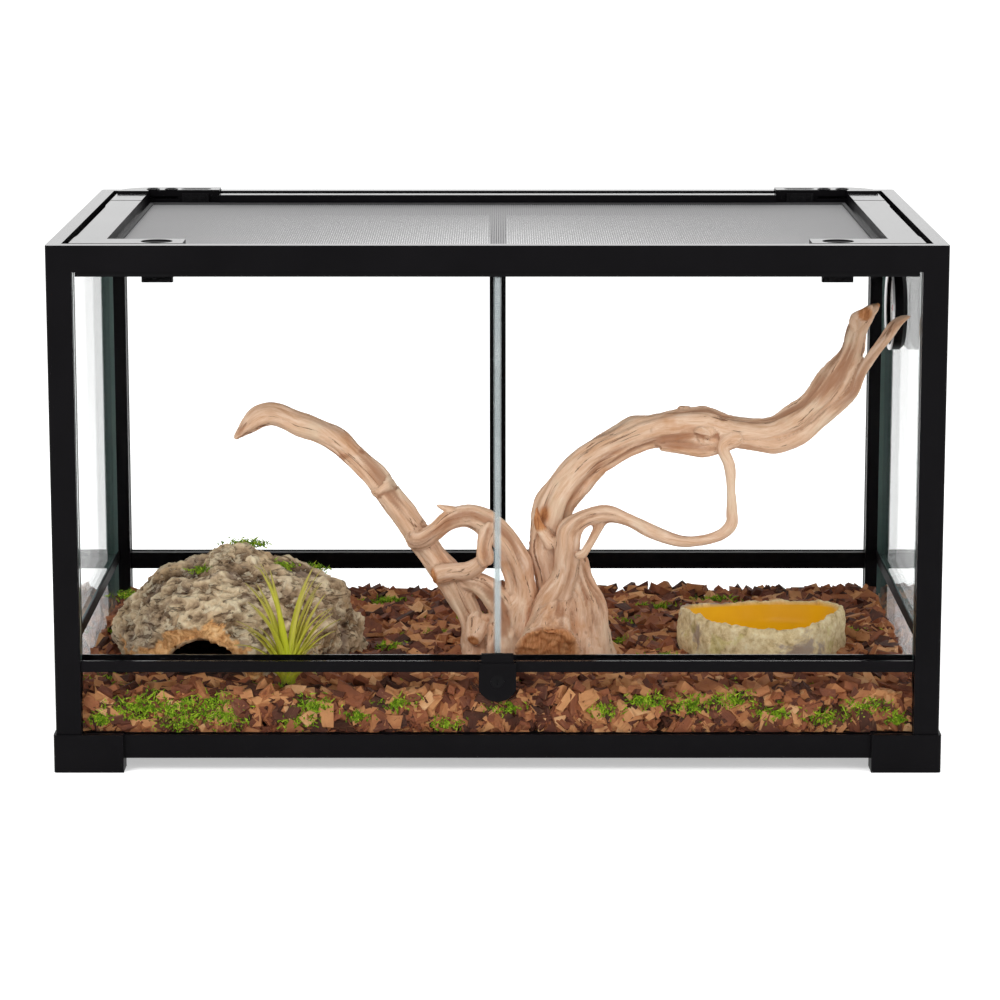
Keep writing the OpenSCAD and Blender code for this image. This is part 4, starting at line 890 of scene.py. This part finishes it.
def air_plant():
    """Narrow channelled leaves that rise from one crown, lean out and curl over at their tips."""
    chance = random.Random(5)
    bm = bmesh.new()
    blade_mark = bm.verts.layers.float_vector.new("blade")
    low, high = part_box("air_plant")
    crown = Vector(((low.x + high.x) / 2, (low.y + high.y) / 2, low.z + 4 * MM))
    half_d = (high.y - low.y) / 2
    leaves = 36
    drooping = 10
    for i in range(leaves + drooping):
        age = i / leaves
        side = 0.0 if i % 2 else math.pi
        turn = side + chance.uniform(-0.9, 0.9)
        lean = math.radians(4 + 62 * age + chance.uniform(-6, 6))
        length = (116 - 58 * age + chance.uniform(-12, 4)) * MM
        curl = math.radians(chance.uniform(0, 35))
        if i >= leaves:
            turn = -math.pi / 2 + chance.uniform(-1.2, 1.2)
            lean = math.radians(chance.uniform(82, 96))
            length = chance.uniform(38, 52) * MM
        width = chance.uniform(2.8, 4.2) * MM
        twist = turn + math.pi / 2 + chance.uniform(-1.2, 1.2)
        add_leaf(bm, blade_mark, crown, turn, lean, curl, length, width, twist, chance.random())
    for v in bm.verts:
        v.co.z = min(max(v.co.z, low.z + 0.5 * MM), high.z)
        v.co.x = min(max(v.co.x, low.x), high.x)
        v.co.y = crown.y + max(min(v.co.y - crown.y, half_d * 1.15), -half_d * 1.15)
    piece = new_piece("air_plant_leaves", bm, LEAF)
    thick = piece.modifiers.new("thickness", "SOLIDIFY")
    thick.thickness = 0.5 * MM
    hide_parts("air_plant")


def add_leaf(bm, blade_mark, crown, turn, lean, curl, length, width, twist, tone):
    """One blade: turn is the way it leans and twist is the way its face looks."""
    rows = 14
    made = bmesh.ops.create_grid(bm, x_segments=rows, y_segments=2, size=0.5)["verts"]
    outwards = Vector((math.cos(turn), math.sin(turn) * 0.45, 0.0))
    across = Vector((math.cos(twist), math.sin(twist), 0.0))
    spots = [crown.copy()]
    for k in range(rows):
        bend = lean * (0.35 + 0.65 * k / rows) + curl * (k / rows) ** 2
        onwards = outwards * math.sin(bend) + Vector((0, 0, math.cos(bend)))
        spots.append(spots[-1] + onwards * (length / rows))
    for v in made:
        t = v.co.x + 0.5
        edge = v.co.y * 2
        k = min(int(round(t * rows)), rows)
        half = width * (1.0 - t) ** 0.75 * (1.0 + 0.6 * (1.0 - t) ** 6) + 0.12 * MM
        v[blade_mark] = (t, edge, tone)
        v.co = spots[k] + across * edge * half + Vector((0, 0, 1)) * abs(edge) * half * 0.55


# Bark chips and moss


# The hide, the dish, the left and the right driftwood's feet: [x, s, half width, half depth]
FOOTPRINTS = [(-236, 174, 108, 90), (239, 192, 70, 57), (0, 168, 36, 16), (62, 160, 34, 34)]
TOP_CHIPS = 3300
FRONT_CHIPS = 1150
REAR_CHIPS = 700
SIDE_CHIPS = 520


def in_footprint(x, s):
    """True where something stands on the bed."""
    return any(((x - a) / w) ** 2 + ((s - b) / d) ** 2 < 1 for a, b, w, d in FOOTPRINTS)


# Each wall's way out, how far the glass lies that way, and the axis that turns a chip against it
WALLS = {
    "front": (Vector((0, -1, 0)), 215.4 * MM, "X"),
    "rear": (Vector((0, 1, 0)), 215.4 * MM, "X"),
    "left": (Vector((-1, 0, 0)), 367.9 * MM, "Y"),
    "right": (Vector((1, 0, 0)), 367.9 * MM, "Y"),
}


def add_chip(bm, marks, chance, place, turn, size):
    """One chip: a flat block with skewed corners, kept behind the glass."""
    fibre_mark, tone_mark = marks
    made = bmesh.ops.create_cube(bm, size=1.0)["verts"]
    tone = chance.random()
    offset = Vector((chance.uniform(0, 3), chance.uniform(0, 3), chance.uniform(0, 3)))
    taper = chance.uniform(0.55, 1.0)
    for v in made:
        if v.co.x > 0:
            v.co.y *= taper
        v.co += Vector([chance.uniform(-0.16, 0.16) for _ in range(3)])
        v.co = Vector((v.co.x * size[0], v.co.y * size[1], v.co.z * size[2]))
        v[fibre_mark] = v.co + offset
        v[tone_mark] = tone
    bmesh.ops.transform(bm, matrix=Matrix.Translation(place) @ turn, verts=made)
    for out, reach, _ in WALLS.values():
        past = max(v.co.dot(out) for v in made) - reach
        if past > 0:
            bmesh.ops.translate(bm, vec=out * -past, verts=made)
    return made


def chip_pile(name, places, seed):
    """Chips at places, each (point, how far it may tilt, how far behind the glass it lies, that wall)."""
    chance = random.Random(seed)
    whole = bmesh.new()
    batch = 60
    for start in range(0, len(places), batch):
        bm = bmesh.new()
        marks = (bm.verts.layers.float_vector.new("fibre"), bm.verts.layers.float.new("tone"))
        for point, tilt, behind, wall in places[start:start + batch]:
            long = chance.triangular(8, 27, 14)
            size = Vector((long, long * chance.uniform(0.4, 0.85), chance.uniform(3.0, 7.0))) * MM
            tilts = (chance.uniform(-tilt, tilt), chance.uniform(-tilt, tilt), chance.uniform(0, 6.28))
            turn = Euler(tilts).to_matrix().to_4x4()
            if wall:
                turn = Matrix.Rotation(math.pi / 2, 4, WALLS[wall][2]) @ turn
            made = add_chip(bm, marks, chance, point, turn, size)
            if wall:
                out, reach, _ = WALLS[wall]
                gap = reach - max(v.co.dot(out) for v in made)
                bmesh.ops.translate(bm, vec=out * (gap - behind * MM), verts=made)
        part = bpy.data.meshes.new("part")
        bm.to_mesh(part)
        bm.free()
        whole.from_mesh(part)
        bpy.data.meshes.remove(part)
    return new_piece(name, whole, CHIP, smooth=False)


def bed_core():
    """The bed's middle: the CAD bed, drawn in from the glass so that whole chips show in front of it."""
    bm = bmesh.new()
    bm.from_mesh(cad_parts["substrate"].data)
    floor = Vector((0.0, 0.0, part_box("substrate")[0].z))
    bmesh.ops.scale(bm, vec=(0.97, 0.95, 0.96), space=Matrix.Translation(-floor), verts=bm.verts)
    # The core wears the near-black crumb finish, which is painted shade showing between the chips.
    core = new_piece("bed_core", bm, CRUMBS_AND_GAP_SHADE)
    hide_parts("substrate")


def top_of(mesh):
    """Answers how high a mesh stands at a place, in mm."""
    bm = bmesh.new()
    bm.from_mesh(mesh)
    tree = BVHTree.FromBMesh(bm)
    bm.free()

    def height(x, s):
        hit = tree.ray_cast(at(x, s, 300.0), Vector((0, 0, -1)))[0]
        return hit.z / MM if hit else BED_Z

    return height


def spread_chips():
    """Chips all over the bed and packed against the panes."""
    chance = random.Random(11)
    top = []
    while len(top) < TOP_CHIPS:
        x, s = chance.uniform(-360, 360), chance.uniform(16, 437)
        if in_footprint(x, s):
            continue
        top.append((at(x, s, BED_HEIGHT(x, s) + chance.uniform(-1.5, 2.5)), 0.6, 0.0, None))
    half = len(top) // 2
    chip_pile("chips_left", sorted(top, key=lambda t: t[0].x)[:half], 1)
    chip_pile("chips_right", sorted(top, key=lambda t: t[0].x)[half:], 2)
    walls = []
    for wall, count, middle in (("front", FRONT_CHIPS, 14), ("rear", REAR_CHIPS, 439)):
        for _ in range(count):
            place = at(chance.uniform(-358, 358), middle, chance.uniform(27, 63))
            walls.append((place, 0.75, chance.triangular(0, 5, 0), wall))
    for wall, x in (("left", -364), ("right", 364)):
        for _ in range(SIDE_CHIPS):
            place = at(x, chance.uniform(18, 435), chance.uniform(27, 62))
            walls.append((place, 0.75, chance.triangular(0, 4, 0), wall))
    chip_pile("chips_at_panes", walls, 3)


# Tufts of moss: [x, s, height above the ground, spread]
MOSS_SPOTS = [
    (-322, 12.5, 52, 11), (-296, 12.5, 56, 15), (-268, 12.5, 50, 17), (-246, 12.5, 57, 14),
    (-236, 12.5, 44, 10), (-276, 12.5, 40, 8), (-342, 12.5, 44, 7), (-172, 12.5, 42, 8),
    (-158, 12.5, 56, 9), (-118, 12.5, 47, 6), (-86, 12.5, 58, 8), (-44, 12.5, 40, 7), (8, 12.5, 55, 7),
    (92, 12.5, 52, 8), (128, 12.5, 60, 9), (168, 12.5, 57, 11), (205, 12.5, 61, 10), (236, 12.5, 50, 8),
    (281, 12.5, 46, 8), (318, 12.5, 56, 10), (346, 12.5, 45, 7), (-300, 40, 64, 15), (-340, 70, 64, 12),
    (-190, 40, 63, 10), (-84, 110, 64, 12), (-60, 60, 63, 9), (20, 60, 63, 10), (92, 60, 64, 12),
    (140, 34, 62, 14), (176, 36, 62, 16), (214, 60, 63, 14), (262, 40, 62, 12), (330, 60, 63, 10),
    (-90, 190, 66, 11), (-60, 240, 66, 12), (-20, 300, 66, 14), (40, 330, 66, 12), (100, 290, 67, 14),
    (150, 350, 67, 12), (190, 300, 67, 13), (210, 380, 67, 10), (290, 330, 66, 12), (320, 250, 66, 12),
    (150, 150, 65, 12), (120, 210, 66, 10), (340, 120, 64, 10), (-300, 300, 66, 12), (-200, 330, 66, 12),
    (-110, 380, 66, 12), (-350, 250, 65, 10), (60, 400, 66, 10),
]
HIDE_MOSS = [
    (-226, 190, 10), (-196, 170, 7), (-262, 150, 6), (-330, 180, 8), (-238, 228, 12), (-166, 196, 6),
]


def moss_tufts(hide_height):
    """Loose tufts of moss between the chips and on the hide: fine pointed leaflets at all angles."""
    chance = random.Random(23)
    whole = bmesh.new()
    on_hide = [(x, s, hide_height(x, s), spread) for x, s, spread in HIDE_MOSS]
    for x, s, z, spread in MOSS_SPOTS + on_hide:
        bm = bmesh.new()
        tone_mark = bm.verts.layers.float.new("tone")
        shallow = 0.5 if s < 13 else spread * 0.45
        tall = spread * 0.4 if s < 13 else 2.0
        for _ in range(int(16 * spread)):
            turn = Euler((chance.uniform(-1.3, 1.3), chance.uniform(-1.3, 1.3), chance.uniform(0, 6.28)))
            sideways = chance.gauss(0, spread)
            inwards = abs(chance.gauss(0, shallow))
            point = at(x + sideways, s + inwards, z + chance.gauss(0, tall))
            point.x = max(min(point.x, INNER_HALF_WIDTH), -INNER_HALF_WIDTH)
            point.y = max(min(point.y, at(0, 434, 0).y), at(0, 13, 0).y)
            point.z = max(point.z, 33 * MM)
            place = Matrix.Translation(point) @ turn.to_matrix().to_4x4()
            length = chance.uniform(3.0, 7.0) * MM
            made = bmesh.ops.create_cone(
                bm, segments=3, radius1=0.8 * MM, radius2=0.06 * MM, depth=length, matrix=place
            )
            tone = chance.random()
            for v in made["verts"]:
                v.co.y = max(v.co.y, at(0, 10.8, 0).y)
                v[tone_mark] = tone
        part = bpy.data.meshes.new("part")
        bm.to_mesh(part)
        bm.free()
        whole.from_mesh(part)
        bpy.data.meshes.remove(part)
    new_piece("moss_tufts", whole, MOSS, smooth=False)


# The case's own nodes

FRONT_GLASS = ["lower_pane_front", "lower_pane_rear", "rear_panes", "left_door_glass", "right_door_glass"]
SIDE_GLASS = ["lower_panes_side", "side_pane_left", "side_pane_right"]
TRIM = [
    "door_track", "side_joint_strips", "lock_barrel", "latch_knob_left", "latch_knob_right", "port_gate_left",
    "port_gate_right",
]
LID_AND_RAILS = [
    "lid_frame", "top_corners", "top_rail_front", "top_rail_rear", "top_rail_left", "top_rail_right",
    "port_housing_left", "port_housing_right", "door_sill",
]


def finish_case():
    rail_dark = (0.0015, 0.0013, 0.0017)
    rail_pale = (0.005, 0.0045, 0.0054)
    frame_black = moulded_black("frame_black", rail_dark, rail_pale, 0.3, 2200.0)
    trim_black = moulded_black("trim_black", (0.003, 0.003, 0.0034), (0.008, 0.0076, 0.0084), 0.42, 1500.0)
    lid_black = moulded_black("lid_black", rail_dark, rail_pale, 0.26, 2200.0, 1.0)
    clear_strip = clear_plastic()
    own = {
        "left_door_strip": clear_strip, "right_door_strip": clear_strip, "lid_mesh": wire_screen(),
        "mesh_spline": ribbed_rubber(), "lock_bolt": plated_steel(), "gauge_bezel": silver_ring(),
        "gauge_dial": dial_card(), "gauge_needle": red_needle(),
    }
    front_glass = polished_glass("clear_glass", 1)
    side_glass = polished_glass("clear_side_glass", 0)
    for name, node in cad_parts.items():
        material = own.get(name, frame_black)
        if name in FRONT_GLASS:
            material = front_glass
        if name in SIDE_GLASS:
            material = side_glass
        if name in TRIM:
            material = trim_black
        if name in LID_AND_RAILS:
            material = lid_black
        node.data.materials.clear()
        node.data.materials.append(material)


# Studio


def pale_floor():
    f = Finish("pale_floor")
    path = f.node("ShaderNodeLightPath")
    seen = Amount(f, path.outputs["Is Camera Ray"]).higher_of(Amount(f, path.outputs["Is Glossy Ray"]))
    seen = seen.higher_of(Amount(f, path.outputs["Is Transmission Ray"]))
    dust = f.noise(f.place(), 3.0)
    pale = f.blend(dust, (0.9, 0.9, 0.9), (0.93, 0.93, 0.93))
    matt = f.surface(Base_Color=pale, Roughness=0.9, Specular_IOR_Level=0.0)
    glow = f.amount("ShaderNodeEmission", sockets={"Strength": seen * 0.45})
    return f.done(f.amount("ShaderNodeAddShader", sockets={0: matt, 1: glow}))


def studio():
    bpy.ops.mesh.primitive_plane_add(size=40.0)
    floor = bpy.context.object
    floor.name = "floor"
    floor.data.materials.append(pale_floor())

    world = bpy.data.worlds.new("white_room")
    bpy.context.scene.world = world
    world.use_nodes = True
    nodes, links = world.node_tree.nodes, world.node_tree.links
    nodes.clear()
    path = nodes.new("ShaderNodeLightPath")
    first = nodes.new("ShaderNodeMath")
    first.operation = "MAXIMUM"
    links.new(path.outputs["Is Camera Ray"], first.inputs[0])
    links.new(path.outputs["Is Glossy Ray"], first.inputs[1])
    second = nodes.new("ShaderNodeMath")
    second.operation = "MAXIMUM"
    links.new(first.outputs[0], second.inputs[0])
    links.new(path.outputs["Is Transmission Ray"], second.inputs[1])
    room = nodes.new("ShaderNodeBackground")
    room.inputs["Color"].default_value = (1.0, 1.0, 1.0, 1.0)
    room.inputs["Strength"].default_value = 0.8
    white = nodes.new("ShaderNodeBackground")
    white.inputs["Color"].default_value = (1.0, 1.0, 1.0, 1.0)
    mix = nodes.new("ShaderNodeMixShader")
    links.new(second.outputs[0], mix.inputs[0])
    links.new(room.outputs[0], mix.inputs[1])
    links.new(white.outputs[0], mix.inputs[2])
    output = nodes.new("ShaderNodeOutputWorld")
    links.new(mix.outputs[0], output.inputs["Surface"])

    soft_light("key", (-1.6, -2.2, 2.1), 1.0, 44.0)
    soft_light("fill", (1.7, -2.6, 1.2), 1.8, 16.0)
    soft_light("top", (0.5, -0.2, 2.6), 1.2, 22.0)


def soft_light(name, place, size, power):
    lamp = bpy.data.lights.new(name, "AREA")
    lamp.size = size
    lamp.energy = power
    holder = bpy.data.objects.new(name, lamp)
    holder.location = place
    holder.rotation_euler = (Vector((0.0, 0.0, 0.2)) - Vector(place)).to_track_quat("-Z", "Y").to_euler()
    bpy.context.scene.collection.objects.link(holder)


CAMERA_PLACE = (0.0022, -3.2527, 0.8162)
CAMERA_PITCH = 10.811
FOCAL_LENGTH = 130.86


def camera():
    """The photograph's view: from in front, a little above the lid."""
    lens = bpy.data.cameras.new("camera")
    lens.sensor_width = 36.0
    lens.lens = FOCAL_LENGTH
    lens.clip_end = 100.0
    holder = bpy.data.objects.new("camera", lens)
    holder.location = CAMERA_PLACE
    holder.rotation_euler = (math.radians(90 - CAMERA_PITCH), 0.0, 0.0)
    bpy.context.scene.collection.objects.link(holder)
    bpy.context.scene.camera = holder


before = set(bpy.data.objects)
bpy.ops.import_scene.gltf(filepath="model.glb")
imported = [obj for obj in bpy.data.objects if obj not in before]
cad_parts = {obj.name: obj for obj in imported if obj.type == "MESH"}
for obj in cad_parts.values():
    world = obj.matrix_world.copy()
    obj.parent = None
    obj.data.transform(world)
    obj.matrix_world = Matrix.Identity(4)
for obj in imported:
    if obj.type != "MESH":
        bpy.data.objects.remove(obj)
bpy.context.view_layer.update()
camera()
studio()
finish_case()
WOOD = dry_wood()
BARK = furrowed_bark()
STONE = cast_stone()
LEAF = leaf()
CHIP = bark_chip()
MOSS = moss()
CRUMBS_AND_GAP_SHADE = chip_bed()
BED_HEIGHT = top_of(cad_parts["substrate"].data)
driftwood(
    "driftwood_left",
    [LEFT_STEM, LEFT_KNOT, LEFT_ARCH, LEFT_THORN, LEFT_PROP, LEFT_CROSS, LEFT_FOOT, LEFT_STRUT, LEFT_SPUR], 1,
)
driftwood(
    "driftwood_right",
    [
        RIGHT_STEM, RIGHT_FRAY, RIGHT_TWIG, RIGHT_RIB, RIGHT_LOOP, RIGHT_KNOT,
        RIGHT_THORN, RIGHT_STUB, RIGHT_BARB, RIGHT_SPIKE, RIGHT_FLARE, RIGHT_TOE,
    ],
    2,
)
HIDE = bark_hide()
water_dish()
air_plant()
bed_core()
spread_chips()
moss_tufts(top_of(HIDE))

scene = bpy.context.scene
scene.view_settings.view_transform = "Standard"
scene.cycles.transparent_max_bounces = 24
